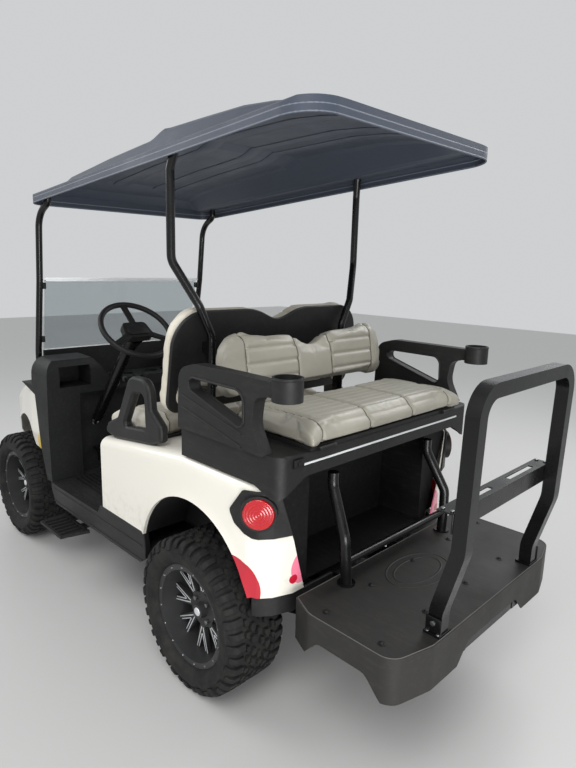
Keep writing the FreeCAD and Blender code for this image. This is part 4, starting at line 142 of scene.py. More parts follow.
class Shader:
    """One material under construction, with short ways to add and join its nodes."""

    def __init__(self, name: str) -> None:
        """Start a material that holds only its Principled shader."""
        self.material = bpy.data.materials.new(name)
        self.material.use_nodes = True
        self.tree = self.material.node_tree
        self.surface = self.tree.nodes["Principled BSDF"]
        self.place = self.node("ShaderNodeTexCoord").outputs["Object"]

    def node(self, kind: str, sockets: dict[str, object] | None = None,
             **settings: object) -> bpy.types.Node:
        """Add a node.

        Args:
            kind: The node's Blender type.
            sockets: Values or output sockets for the node's inputs, by input name.
            settings: The node's own properties.

        Returns:
            The new node.
        """
        made = self.tree.nodes.new(kind)
        for key, value in settings.items():
            setattr(made, key, value)
        for key, value in (sockets or {}).items():
            self.feed(made.inputs[key], value)
        return made

    def feed(self, socket: NodeSocket, value: object) -> None:
        """Link an output socket to an input, or set the input's own value."""
        if isinstance(value, NodeSocket):
            self.tree.links.new(value, socket)
        else:
            socket.default_value = value

    def set(self, **values: object) -> None:
        """Set inputs of the Principled shader, an underscore standing for a space."""
        for key, value in values.items():
            self.feed(self.surface.inputs[key.replace("_", " ")], value)

    def stretched(self, scale: Point) -> NodeSocket:
        """Object coordinates stretched by a factor along each axis."""
        return self.node("ShaderNodeMapping", {"Vector": self.place, "Scale": scale}).outputs["Vector"]

    def axis(self, letter: str) -> NodeSocket:
        """One of the object coordinates."""
        return self.node("ShaderNodeSeparateXYZ", {"Vector": self.place}).outputs[letter]

    def noise(self, scale: float, detail: float = 2.0, rough: float = 0.5,
              vector: NodeSocket | None = None) -> NodeSocket:
        """Noise from 0 to 1 over object coordinates."""
        made = self.node("ShaderNodeTexNoise", {"Vector": vector or self.place, "Scale": scale,
                                                "Detail": detail, "Roughness": rough})
        return made.outputs["Fac"]

    def cells(self, scale: float, feature: str = "F1") -> NodeSocket:
        """Voronoi distance over object coordinates."""
        made = self.node("ShaderNodeTexVoronoi", {"Vector": self.place, "Scale": scale}, feature=feature)
        return made.outputs["Distance"]

    def ramp(self, factor: NodeSocket, stops: Sequence[tuple[float, object]]) -> NodeSocket:
        """A colour ramp.

        Args:
            factor: The socket that drives the ramp.
            stops: Position and colour, the colour either a grey number or four values.

        Returns:
            The ramp's colour output.
        """
        made = self.node("ShaderNodeValToRGB", {"Fac": factor})
        elements = made.color_ramp.elements
        for _ in range(len(stops) - 2):
            elements.new(0.5)
        for element, (position, colour) in zip(elements, stops):
            element.position = position
            element.color = colour if isinstance(colour, tuple) else (colour, colour, colour, 1)
        return made.outputs["Color"]

    def uneven(self, factor: NodeSocket, level: float, swing: float) -> NodeSocket:
        """A level that lies lower by a swing where the factor is low, and higher by it where it is high."""
        return self.ramp(factor, ((0.3, level - swing), (0.7, level + swing)))

    def mix(self, factor: object, first: object, second: object) -> NodeSocket:
        """Mix two colours by a factor."""
        made = self.node("ShaderNodeMix", data_type="RGBA")
        for index, value in ((0, factor), (6, first), (7, second)):
            self.feed(made.inputs[index], value)
        return made.outputs[2]

    def math(self, how: str, first: object, second: object = 0.0) -> NodeSocket:
        """A math node on two values."""
        made = self.node("ShaderNodeMath", operation=how)
        self.feed(made.inputs[0], first)
        self.feed(made.inputs[1], second)
        return made.outputs[0]

    def vector_math(self, how: str, *values: object) -> bpy.types.Node:
        """A vector math node on one or two vectors."""
        made = self.node("ShaderNodeVectorMath", operation=how)
        for socket, value in zip(made.inputs, values):
            self.feed(socket, value)
        return made

    def bump(self, height: NodeSocket, strength: float, depth: float,
             under: NodeSocket | None = None) -> NodeSocket:
        """A bump normal, over another one where it is given."""
        sockets = {"Height": height, "Strength": strength, "Distance": depth}
        if under is not None:
            sockets["Normal"] = under
        return self.node("ShaderNodeBump", sockets).outputs["Normal"]

    def within(self, mark: Mark) -> NodeSocket:
        """1 inside a mark's rounded space and 0 outside it."""
        parts = self.node("ShaderNodeSeparateXYZ", {"Vector": self.place}).outputs
        across = self.math("ABSOLUTE", parts["Y"]) if mark.both_sides else parts["Y"]
        folded = self.node("ShaderNodeCombineXYZ", {"X": parts["X"], "Y": across, "Z": parts["Z"]})
        offset = self.vector_math("SUBTRACT", folded.outputs[0], mark.centre)
        shares = self.vector_math("DIVIDE", offset.outputs[0], mark.radii)
        length = self.vector_math("LENGTH", shares.outputs[0])
        return self.math("LESS_THAN", length.outputs["Value"], 1.0)


@dataclass(frozen=True)
class Mark:
    """A coloured mark on a painted panel: what lies inside a rounded space is tinted."""

    centre: tuple[float, float, float]
    radii: tuple[float, float, float]
    colour: str
    both_sides: bool = True


@dataclass(frozen=True)
class Finish:
    """A finish of the cart: its name, its colour and the record's slot it stands for."""

    name: str
    colour: str
    slot: str
    roughness: float = 0.5

    def build(self) -> bpy.types.Material:
        """Return the finish's material, made on first use."""
        title = f"{self.name}_finish"
        made = bpy.data.materials.get(title)
        if made is None:
            shader = Shader(title)
            shader.set(Base_Color=linear(self.colour), Roughness=self.roughness)
            self.dress(shader)
            made = shader.material
        return made

    def dress(self, shader: Shader) -> None:
        """Add the finish's own nodes."""


@dataclass(frozen=True)
class BodyPaint(Finish):
    """Clear-coated paint on a moulded panel, with a faint ripple, dust low down and its marks."""

    dust: str = "b3ada0"
    marks: tuple[Mark, ...] = ()
    dusty_below: float = 0.48
    clean_above: float = 0.66

    def dress(self, shader: Shader) -> None:
        """Add the clear coat, the ripple, the dust and the marks."""
        ripple = shader.noise(9.0, 2.0)
        fade = shader.ramp(shader.axis("Z"), ((self.dusty_below, 0.5), (self.clean_above, 0.0)))
        specks = shader.ramp(shader.noise(26.0, 6.0, 0.7), ((0.48, 0.0), (0.72, 1.0)))
        amount = shader.math("MULTIPLY", fade, specks)
        colour = shader.mix(amount, linear(self.colour), linear(self.dust))
        for mark in self.marks:
            colour = shader.mix(shader.within(mark), colour, linear(mark.colour))
        shader.set(Base_Color=colour, Coat_Weight=0.6, Coat_Roughness=0.05,
                   Normal=shader.bump(ripple, 0.05, 0.01))


@dataclass(frozen=True)
class Moulding(Finish):
    """Textured moulded plastic: fine leather-like grain, faint scuffs and pale dust."""

    grain: float = 700.0
    depth: float = 0.3
    dust: str = "5b5852"
    dustiness: float = 0.14
    sheen_swing: float = 0.08

    def dress(self, shader: Shader) -> None:
        """Add the grain, the uneven sheen and the dust."""
        grain = shader.cells(self.grain)
        patches = shader.noise(5.0, 5.0, 0.6)
        scuffs = shader.noise(1.0, 6.0, 0.7, shader.stretched((14.0, 60.0, 60.0)))
        worn = shader.math("MULTIPLY", shader.ramp(scuffs, ((0.5, 0.0), (0.8, 1.0))), self.dustiness)
        shader.set(Base_Color=shader.mix(worn, linear(self.colour), linear(self.dust)),
                   Specular_IOR_Level=0.3,
                   Roughness=shader.uneven(patches, self.roughness, self.sheen_swing),
                   Normal=shader.bump(grain, self.depth, 0.0006))


@dataclass(frozen=True)
class Vinyl(Finish):
    """Upholstery vinyl: pebbled grain, soft creases with shade painted darker along them, and a second tone
    in the middle.
    """

    # Darker colour mixed in along the crease pattern, as painted shade in the creases
    shade: str = "6f6b62"
    inner: str = ""
    inner_half: float = 0.4
    sheen_swing: float = 0.07

    def dress(self, shader: Shader) -> None:
        """Add the pebbles, the creases, the shade painted along the creases and the second tone."""
        pebbles = shader.cells(520.0)
        creases = shader.noise(7.0, 4.0, 0.55, shader.stretched((1.0, 1.0, 2.2)))
        # Painted shade: the colour goes up to 0.3 of the way to the darker colour along the crease noise
        crease_shade_amount = shader.ramp(creases, ((0.35, 0.0), (0.75, 0.3)))
        colour = linear(self.colour)
        if self.inner:
            across = shader.math("ABSOLUTE", shader.axis("Y"))
            middle = shader.math("LESS_THAN", across, self.inner_half)
            colour = shader.mix(middle, colour, linear(self.inner))
        lower = shader.bump(creases, 0.16, 0.01)
        shader.set(Base_Color=shader.mix(crease_shade_amount, colour, linear(self.shade)),
                   Roughness=shader.uneven(creases, self.roughness, self.sheen_swing),
                   Normal=shader.bump(pebbles, 0.22, 0.0008, lower))


@dataclass(frozen=True)
class PowderCoat(Finish):
    """Gloss powder coat on steel tube, with its faint orange peel."""

    peel: float = 160.0

    def dress(self, shader: Shader) -> None:
        """Add the orange peel and the smudges."""
        smudges = shader.noise(11.0, 4.0, 0.6)
        glossy, dull = self.roughness - 0.06, self.roughness + 0.12
        shader.set(Specular_IOR_Level=0.36, Roughness=shader.ramp(smudges, ((0.35, glossy), (0.7, dull))),
                   Normal=shader.bump(shader.noise(self.peel, 1.0), 0.03, 0.001))


@dataclass(frozen=True)
class Rubber(Finish):
    """Tyre rubber with grey road dust in its hollows."""

    dust: str = "3c3a36"

    def dress(self, shader: Shader) -> None:
        """Add the dust and the fine skin."""
        dusty = shader.ramp(shader.noise(18.0, 6.0, 0.65), ((0.4, 0.0), (0.75, 0.45)))
        shader.set(Base_Color=shader.mix(dusty, linear(self.colour), linear(self.dust)),
                   Specular_IOR_Level=0.3, Normal=shader.bump(shader.noise(420.0, 3.0), 0.3, 0.0006))


@dataclass(frozen=True)
class BareMetal(Finish):
    """Machined or plated metal with fine tool lines."""

    metallic: float = 1.0

    def dress(self, shader: Shader) -> None:
        """Add the metal and its lines."""
        lines = shader.noise(2.0, 3.0, 0.6, shader.stretched((300.0, 20.0, 300.0)))
        shader.set(Metallic=self.metallic, Normal=shader.bump(lines, 0.06, 0.0004))


@dataclass(frozen=True)
class ClearSheet(Finish):
    """Tinted clear sheet."""

    def dress(self, shader: Shader) -> None:
        """Let light through, with a trace of haze."""
        haze = shader.noise(30.0, 5.0, 0.7)
        shader.set(Transmission_Weight=1.0, IOR=1.18,
                   Roughness=shader.ramp(haze, ((0.5, 0.0), (0.9, 0.03))))


@dataclass(frozen=True)
class LampLens(Finish):
    """Moulded lens under a clear coat, which light enters a little way."""

    def dress(self, shader: Shader) -> None:
        """Add the coat, the light that spreads inside and the fine texture."""
        shader.set(Coat_Weight=0.6, Coat_Roughness=0.08, Subsurface_Weight=0.2,
                   Normal=shader.bump(shader.noise(240.0, 1.0), 0.05, 0.0005))


@dataclass(frozen=True)
class TreadPlate(Moulding):
    """Moulded floor with small raised pips."""

    pips: float = 42.0

    def dress(self, shader: Shader) -> None:
        """Add the pips over the moulding."""
        super().dress(shader)
        pips = shader.ramp(shader.cells(self.pips), ((0.25, 1.0), (0.45, 0.0)))
        shader.set(Normal=shader.bump(pips, 0.5, 0.003))


# Where the pale sides of the front seat meet its grey middle, from the cart's middle
PALE_FROM = 0.405

PANEL_MARKS = (
    Mark((ahead(-0.212), 0.58, 0.500), (0.113, 0.08, 0.113), "b3142a"),
    Mark((ahead(-0.360), 0.415, 0.562), (0.060, 0.042, 0.056), "ef7f98"),
    Mark((ahead(-0.360), 0.446, 0.530), (0.050, 0.017, 0.016), "c01a33"),
)
NOSE_MARKS = (Mark((ahead(1.345), 0.575, 0.62), (0.06, 0.06, 0.06), "e8c22e", False),)
WHITE = BodyPaint("body_white", "e8e4d9", "white_body", 0.28, marks=PANEL_MARKS)
NOSE_WHITE = BodyPaint("nose_white", "e8e4d9", "white_body", 0.28, marks=NOSE_MARKS)
CHARCOAL = Moulding("charcoal_moulding", "1c1c1c", "dark_plastic", 0.5)
DASH_BLACK = Moulding("dash_black", "101112", "dark_plastic", 0.55)
# The bag well's black moulding, painted darker still as the shade inside the well
WELL_SHADED_BLACK = Moulding("well_black", "09090a", "dark_plastic", 0.65)
DECK_BROWN = Moulding("deck_moulding", "272625", "dark_plastic", 0.55, 420.0, 0.25, "5a554d", 0.16)
FLOOR_BLACK = TreadPlate("floor_moulding", "1a1a1a", "dark_plastic", 0.6)
ROOF_DARK = Moulding("roof_moulding", "414753", "roof_plastic", 0.42, 700.0, 0.2)
ROOF_EDGE = Moulding("roof_edge", "6d737e", "roof_plastic", 0.35, 700.0, 0.1)
STEEL = PowderCoat("black_powder_coat", "0d0d0e", "black_steel", 0.24)
IRON = PowderCoat("dull_black_casting", "161617", "axle_iron", 0.6, 260.0)
CASE = Moulding("battery_case", "3a3b3d", "battery_grey", 0.6)
RED_LENS = LampLens("red_lens", "ad0d19", "red_lens", 0.2)
CLEAR_LENS = ClearSheet("clear_lens", "e6ecee", "clear_lens", 0.05)
TINTED = ClearSheet("tinted_sheet", "dde1e2", "tinted_glass", 0.02)
# The darker colour given after each vinyl's roughness is the shade painted along its creases
GREY_VINYL = Vinyl("grey_vinyl", "959286", "grey_vinyl", 0.4)
LIGHT_VINYL = Vinyl("light_grey_vinyl", "cbc6b8", "light_vinyl", 0.42, "9b9588", "a5a094", PALE_FROM)
CREAM_VINYL = Vinyl("cream_vinyl", "d2ccbd", "cream_vinyl", 0.42, "a59d8a", "a5a094", PALE_FROM)
PIPING = Vinyl("dark_piping", "4a443c", "grey_vinyl", 0.5, "2e2a25")
BOARD = Moulding("seat_board", "151515", "seat_board", 0.6)
GRIP = Moulding("soft_grip", "121213", "soft_black", 0.5, 700.0, 0.3)
TYRE = Rubber("tyre_rubber", "131314", "tyre_rubber", 0.75)
RIM = PowderCoat("matte_black_rim", "313132", "rim_black", 0.46, 300.0)
MACHINED = BareMetal("machined_silver", "dcdee0", "rim_black", 0.35, 0.35)
BRIGHT = BareMetal("bright_strip", "d4d6d8", "dark_plastic", 0.35, 0.2)
BOLT = BareMetal("plated_bolt", "8b8c8c", "black_steel", 0.4)
# Pale bead colour painted as the highlight along the foot deck's edge
EDGE_HIGHLIGHT = Moulding("worn_edge", "5b5956", "dark_plastic", 0.6)
# Opaque near-white painted glint for the windshield sheets' edges and their fold bar
PAINTED_GLINT_EDGE = Moulding("sheet_edge", "f6f8f9", "tinted_glass", 0.3)

# The finish of each of the record's slots, and of the nodes that differ from their slot
SLOT_FINISHES = {finish.slot: finish for finish in (
    WHITE, CHARCOAL, ROOF_DARK, STEEL, IRON, CASE, RED_LENS, CLEAR_LENS, TINTED, GREY_VINYL, LIGHT_VINYL,
    CREAM_VINYL, BOARD, GRIP, TYRE, RIM)}
NODE_FINISHES = {
    "front_cowl": NOSE_WHITE, "inner_cowl": DASH_BLACK, "foot_deck": DECK_BROWN, "bag_well": WELL_SHADED_BLACK,
    "floor_pan": FLOOR_BLACK, "side_steps": FLOOR_BLACK,
}


# Mesh tools


@dataclass(frozen=True)
class Fastener:
    """A round or many-sided head: radius at its foot, height, sides, radius at its top and eased rim."""

    radius: float
    height: float
    sides: int
    top: float | None = None
    bevel: float = 0.0


class Draft:
    """A mesh in progress, with the few shapes that the cart's small pieces are made of."""

    def __init__(self) -> None:
        """Start an empty mesh."""
        self.bm = bmesh.new()

    def block(self, low: Point, high: Point, bevel: float = 0.0, segments: int = 2) -> Verts:
        """Add a box between two corners, its edges eased by bevel."""
        verts = bmesh.ops.create_cube(self.bm, size=1.0)["verts"]
        bmesh.ops.scale(self.bm, vec=Vector(high) - Vector(low), verts=verts)
        bmesh.ops.translate(self.bm, vec=(Vector(low) + Vector(high)) / 2, verts=verts)
        return self.ease(verts, bevel, segments)

    def ease(self, verts: Verts, bevel: float, segments: int = 2, angle: float = 30.0) -> Verts:
        """Bevel the sharp edges of some vertices' faces.

        Args:
            verts: Vertices of one closed shape.
            bevel: Width of the bevel; nothing is done at 0.
            segments: Steps across it.
            angle: Edges sharper than this many degrees are bevelled.

        Returns:
            The shape's vertices afterwards.
        """
        if not bevel:
            return verts
        # Kept in order, so that each run gives the same mesh
        edges = dict.fromkeys(edge for vert in verts for edge in vert.link_edges
                              if len(edge.link_faces) == 2
                              and edge.calc_face_angle(0.0) > math.radians(angle))
        kept = [vert for vert in verts if not any(edge in edges for edge in vert.link_edges)]
        made = bmesh.ops.bevel(self.bm, geom=list(edges), offset=bevel, affect="EDGES", segments=segments,
                               profile=0.5, material=-1, clamp_overlap=True)
        return list(dict.fromkeys((*kept, *made["verts"])))

    def turn(self, verts: Verts, matrix: Matrix) -> Verts:
        """Move vertices by a matrix."""
        bmesh.ops.transform(self.bm, matrix=matrix, verts=verts)
        return verts

    def drum(self, base: Point, way: Point, radius: float, height: float, sides: int = 24,
             top: float | None = None, bevel: float = 0.0) -> Verts:
        """Add a round solid that stands on base and rises along way.

        Args:
            base: Middle of its foot.
            way: Direction in which it rises.
            radius: Radius at the foot.
            height: Its height.
            sides: Number of sides.
            top: Radius at the top, or None for a straight one.
            bevel: Width of the eased rims.

        Returns:
            Its vertices.
        """
        verts = bmesh.ops.create_cone(self.bm, cap_ends=True, segments=sides, radius1=radius,
                                      radius2=radius if top is None else top, depth=height)["verts"]
        bmesh.ops.translate(self.bm, vec=(0, 0, height / 2), verts=verts)
        verts = self.ease(verts, bevel, 2, 50.0)
        spin = UP.rotation_difference(Vector(way)).to_matrix().to_4x4()
        return self.turn(verts, Matrix.Translation(Vector(base)) @ spin)

    def fasten(self, kind: Fastener, spot: Point, way: Point) -> Verts:
        """Add a fastener's head that stands on a spot and looks along way."""
        return self.drum(spot, way, kind.radius, kind.height, kind.sides, kind.top, kind.bevel)

    def lathe(self, profile: Profile, centre: Point, way: Point, steps: int = 48,
              closed: bool = False) -> Verts:
        """Spin a profile about a line.

        Args:
            profile: Distance along the line and radius of each point.
            centre: A point of the line.
            way: The line's direction.
            steps: Steps round the full turn.
            closed: Whether the last point joins the first.

        Returns:
            The new vertices.
        """
        centre = Vector(centre)
        way = Vector(way).normalized()
        side = way.orthogonal().normalized()
        before = set(self.bm.verts)
        verts = [self.bm.verts.new(centre + way * along + side * radius) for along, radius in profile]
        pairs = list(zip(verts, verts[1:])) + ([(verts[-1], verts[0])] if closed else [])
        edges = [self.bm.edges.new(pair) for pair in pairs]
        bmesh.ops.spin(self.bm, geom=verts + edges, cent=centre, axis=way, angle=math.tau, steps=steps,
                       use_merge=True)
        spun = [vert for vert in self.bm.verts if vert not in before]
        bmesh.ops.remove_doubles(self.bm, verts=spun, dist=0.000002)
        return [vert for vert in self.bm.verts if vert not in before]

    def face(self, outline: Sequence[Point]) -> bmesh.types.BMFace:
        """Add a flat face with an outline."""
        return self.bm.faces.new([self.bm.verts.new(Vector(point)) for point in outline])

    def raised(self, face: bmesh.types.BMFace, rise: Point) -> Verts:
        """Extrude a face along a vector and return the vertices of its far end."""
        made = bmesh.ops.extrude_face_region(self.bm, geom=[face])["geom"]
        verts = [item for item in made if isinstance(item, bmesh.types.BMVert)]
        bmesh.ops.translate(self.bm, vec=Vector(rise), verts=verts)
        return verts

    def prism(self, outline: Sequence[Point], rise: Point, bevel: float = 0.0, segments: int = 1) -> Verts:
        """Raise a flat outline along a vector, its edges eased by bevel."""
        face = self.face(outline)
        far = self.raised(face, rise)
        return self.ease(list(face.verts) + far, bevel, segments)

    def rope(self, points: Sequence[Point], radius: float, sides: int = 8, closed: bool = False,
             flat: float = 1.0, over: Point = UP) -> Verts:
        """Run a round or flattened section along a path.

        Args:
            points: The path.
            radius: The section's radius.
            sides: Sides of the section.
            closed: Whether the path's end joins its start.
            flat: Height of the section over its width.
            over: A direction that the section's height keeps to.

        Returns:
            The new vertices.
        """
        path = [Vector(point) for point in points]
        count = len(path)
        rings = []
        for index, point in enumerate(path):
            before = path[index - 1] if index or closed else point
            after = path[(index + 1) % count] if index < count - 1 or closed else point
            along = (after - before).normalized()
            across = Vector(over).cross(along).normalized()
            above = along.cross(across)
            ring = bmesh.ops.create_circle(self.bm, cap_ends=False, radius=radius, segments=sides)["verts"]
            frame = Matrix((across, above * flat, along)).transposed().to_4x4()
            rings.append(self.turn(ring, Matrix.Translation(point) @ frame))
        pairs = list(zip(rings, rings[1:])) + ([(rings[-1], rings[0])] if closed else [])
        for ring, following in pairs:
            edges = {edge for vert in (*ring, *following) for edge in vert.link_edges
                     if (edge.verts[0] in ring) == (edge.verts[1] in ring)
                     and (edge.verts[0] in following) == (edge.verts[1] in following)}
            loop_edges = [edge for edge in edges if len(edge.link_faces) < 2]
            bmesh.ops.bridge_loops(self.bm, edges=loop_edges)
        if not closed:
            for ring in (rings[0], rings[-1]):
                self.bm.faces.new(ring)
        return [vert for ring in rings for vert in ring]

    def finish(self, name: str, finish: Finish, body: str, smooth_angle: float = 40.0,
               outward: bool = True) -> bpy.types.Object:
        """Turn the mesh into a piece that rides on a body.

        Args:
            name: The piece's name.
            finish: Its finish.
            body: The body it rides on.
            smooth_angle: Edges sharper than this many degrees stay sharp.
            outward: Whether the faces' directions are worked out again.

        Returns:
            The new object.
        """
        if outward:
            bmesh.ops.recalc_face_normals(self.bm, faces=self.bm.faces[:])
        for face in self.bm.faces:
            face.smooth = True
        limit = math.radians(smooth_angle)
        for edge in self.bm.edges:
            edge.smooth = len(edge.link_faces) == 2 and edge.calc_face_angle(0.0) < limit
        mesh = bpy.data.meshes.new(name)
        self.bm.to_mesh(mesh)
        self.bm.free()
        piece = bpy.data.objects.new(name, mesh)
        bpy.context.scene.collection.objects.link(piece)
        mesh.materials.append(finish.build())
        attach(piece, body)
        LOG.info("%s: %d faces on %s", name, len(mesh.polygons), body)
        return piece


def rounded_loop(corners: Sequence[tuple[Vector, float]], steps: int = 5) -> list[Vector]:
    """Points of a closed flat outline whose corners are rounded.

    Args:
        corners: Each corner with its rounding.
        steps: Steps round each corner.

    Returns:
        The outline's points.
    """
    points = []
    count = len(corners)
    for index, (corner, radius) in enumerate(corners):
        back = (corners[index - 1][0] - corner).normalized()
        on = (corners[(index + 1) % count][0] - corner).normalized()
        half = back.angle(on) / 2
        if radius <= 0 or half > math.radians(88):
            points.append(corner)
            continue
        reach = radius / math.tan(half)
        middle = corner + (back + on).normalized() * (radius / math.sin(half))
        start = corner + back * reach - middle
        end = corner + on * reach - middle
        turn = start.angle(end)
        for step in range(steps + 1):
            share = step / steps
            points.append(middle + (start * math.sin((1 - share) * turn) + end * math.sin(share * turn))
                          / math.sin(turn))
    return points


@dataclass
class Cart:
    """The loaded frame, with what the sub-assemblies ask of it."""

    frame: dict
    slots: dict[str, str] = field(default_factory=dict)
    bodies: dict[str, str] = field(default_factory=dict)
    replaced: set[str] = field(default_factory=set)

    def __post_init__(self) -> None:
        """Note each node's slot and body."""
        record = self.frame["record"]
        self.slots = {row["node"]: row["material_slot"] for row in record["subparts"]}
        bodies = record["behaviour"]["bodies"]
        self.bodies = {node: body for body, nodes in bodies.items() for node in nodes}

    def stand_in(self, piece: bpy.types.Object, *nodes: str) -> None:
        """Show a piece in place of CAD nodes."""
        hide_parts(*nodes)
        self.replaced.update(nodes)

    def finish_of(self, node: str) -> Finish:
        """The finish that a node gets."""
        return NODE_FINISHES.get(node) or SLOT_FINISHES[self.slots[node]]

    def dress_node(self, node: str) -> None:
        """Give a node that stays its finish."""
        item = self.frame["nodes"][node]
        item.data.materials.clear()
        item.data.materials.append(self.finish_of(node).build())

    def merged(self, node: str) -> Draft:
        """A draft that holds a node's mesh with its loose triangles merged."""
        draft = Draft()
        draft.bm.from_mesh(self.frame["nodes"][node].data)
        bmesh.ops.remove_doubles(draft.bm, verts=draft.bm.verts[:], dist=0.00002)
        return draft

    def soften_node(self, node: str, bevel: float = 0.003, angle: float = 35.0) -> bpy.types.Object:
        """Stand in for a node with a merged copy whose edges are eased.

        Args:
            node: The node's name.
            bevel: Width of the eased edges, or 0 to smooth the curved faces alone.
            angle: Edges sharper than this many degrees are eased.

        Returns:
            The new piece.
        """
        draft = self.merged(node)
        bmesh.ops.dissolve_limit(draft.bm, angle_limit=math.radians(0.5), verts=draft.bm.verts[:],
                                 edges=draft.bm.edges[:])
        piece = draft.finish(f"{node}_eased", self.finish_of(node), self.bodies[node], angle, outward=False)
        if bevel:
            modifier = piece.modifiers.new("eased_edges", "BEVEL")
            modifier.width = bevel
            modifier.segments = 2
            modifier.limit_method = "ANGLE"
            modifier.angle_limit = math.radians(angle)
        else:
            modifier = piece.modifiers.new("flats_kept", "WEIGHTED_NORMAL")
            modifier.keep_sharp = True
        self.stand_in(piece, node)
        return piece

    def surface(self, node: str) -> BVHTree:
        """A node's surface, to cast rays against."""
        return BVHTree.FromBMesh(self.merged(node).bm)


# Wheels


@dataclass
class Wheel:
    """One wheel's tyre with its tread blocks, and the machined parts of its rim."""

    cart: Cart
    corner: Corner
    pitch_count: int = 20
    tread_radius: float = 0.2914
    groove_radius: float = 0.2795
    spoke_count: int = 8
    bolt_count: int = 16
    bolt_circle: float = 0.1815
    flange_face: float = 0.097
    spoke_face: float = 0.032
    cap_face: float = 0.056
    cap_radius: float = 0.0165
    cap_height: float = 0.003
    nut_count: int = 4
    nut_circle: float = 0.048
    valve_angle: float = 0.35
    valve_circle: float = 0.160
    valve_face: float = 0.060
    flange_bolt: Fastener = Fastener(0.0042, 0.0028, 8, 0.0032)
    wheel_nut: Fastener = Fastener(0.0095, 0.012, 6, 0.0085, 0.001)
    valve: Fastener = Fastener(0.004, 0.026, 12, 0.003)
    block_sink: float = 0.003
    block_taper: float = 0.86
    block_ease: float = 0.0022
    long_half: float = 0.0125
    short_half: float = 0.0105
    stagger: float = 0.12
    silver_rise: float = 0.0012

    # Half section of the carcass: outward from the wheel's middle, and radius
    carcass: Profile = (
        (0.0, 0.2795), (0.084, 0.2795), (0.100, 0.2740), (0.1115, 0.2640), (0.1185, 0.2510),
        (0.1200, 0.2485), (0.1222, 0.2470), (0.1232, 0.2400), (0.1228, 0.2260), (0.1195, 0.2130),
        (0.1178, 0.2115), (0.1160, 0.2085), (0.1075, 0.1990), (0.0990, 0.1942), (0.0905, 0.1928),
        (0.0905, 0.1785),
    )
    # Outlines of the middle blocks in millimetres along the tread and outward,
    # with the share of a pitch that each is turned by
    middle_blocks: tuple[tuple[float, Profile], ...] = (
        (0.00, ((-15, -4), (-9, -15), (12, -17), (17, -6), (13, 1), (-6, 4))),
        (0.50, ((-17, 6), (-13, -1), (6, -4), (15, 4), (9, 15), (-12, 17))),
        (0.25, ((-16, 19), (-4, 16), (10, 20), (18, 28), (12, 41), (-5, 44), (-13, 37))),
        (0.75, ((-15, 24), (-5, 17), (8, 18), (15, 26), (11, 36), (-2, 44), (-16, 40))),
        (0.25, ((16, -19), (4, -16), (-10, -20), (-18, -28), (-12, -41), (5, -44), (13, -37))),
        (0.75, ((15, -24), (5, -17), (-8, -18), (-15, -26), (-11, -36), (2, -44), (16, -40))),
        (0.00, ((-15, 48), (-3, 46), (9, 50), (12, 62), (2, 66), (-13, 62))),
        (0.50, ((-12, 47), (4, 49), (15, 46), (14, 60), (1, 66), (-11, 60))),
        (0.00, ((15, -48), (3, -46), (-9, -50), (-12, -62), (-2, -66), (13, -62))),
        (0.50, ((12, -47), (-4, -49), (-15, -46), (-14, -60), (-1, -66), (11, -60))),
    )
    # Side outlines of the long and the short shoulder block: outward, and radius
    long_block: Profile = (
        (0.067, 0.2912), (0.100, 0.2895), (0.1145, 0.2790), (0.1235, 0.2600), (0.1246, 0.2530),
        (0.1200, 0.2510), (0.1080, 0.2600), (0.090, 0.2740), (0.067, 0.2760),
    )
    short_block: Profile = (
        (0.071, 0.2912), (0.099, 0.2896), (0.1120, 0.2800), (0.1190, 0.2640), (0.1150, 0.2600),
        (0.1040, 0.2640), (0.090, 0.2740), (0.071, 0.2760),
    )
    # The two machined lines on each half of a split spoke: inner end, outer end, half width
    silver_lines: tuple[tuple[Point, Point, float], ...] = (
        ((0.004, 0.073), (0.0325, 0.168), 0.0022),
        ((0.0015, 0.101), (0.0205, 0.1645), 0.0020),
    )

    def __post_init__(self) -> None:
        """Take the wheel's middle and body from the frame."""
        low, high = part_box(f"tyre_{self.corner.label}")
        self.middle = (Vector(low) + Vector(high)) / 2
        self.body = self.cart.bodies[f"tyre_{self.corner.label}"]
        self.outward = LEFTWARD * self.corner.sign

    def turned(self, angle: float) -> Matrix:
        """The matrix that takes a shape drawn above the origin to an angle round the wheel's middle."""
        return Matrix.Translation(self.middle) @ Matrix.Rotation(angle, 4, self.outward)

    def turned_share(self, number: float, count: int) -> Matrix:
        """The matrix for one of a number of like shapes spread evenly round the wheel."""
        return self.turned(math.tau * number / count)

    def build(self) -> None:
        """Make the tyre and the rim's parts."""
        self.build_tyre()
        self.build_silver()
        self.build_bolts()

    def build_tyre(self) -> None:
        """The tyre: its carcass, and rows of blocks round it."""
        draft = Draft()
        half = [(out, radius) for out, radius in self.carcass]
        section = [(-out, radius) for out, radius in reversed(half[1:])] + half
        draft.lathe(section, self.middle, self.outward, steps=80, closed=True)
        for pitch in range(self.pitch_count):
            for share, outline in self.middle_blocks:
                self.middle_block(draft, outline, pitch + share)
            for sign in (1, -1):
                place = pitch + self.stagger * sign
                self.shoulder_block(draft, self.long_block, self.long_half, place, sign)
                self.shoulder_block(draft, self.short_block, self.short_half, place + 0.5, sign)
        tyre = draft.finish(f"tyre_{self.corner.label}_rubber", TYRE, self.body, 32.0)
        self.cart.stand_in(tyre, f"tyre_{self.corner.label}")

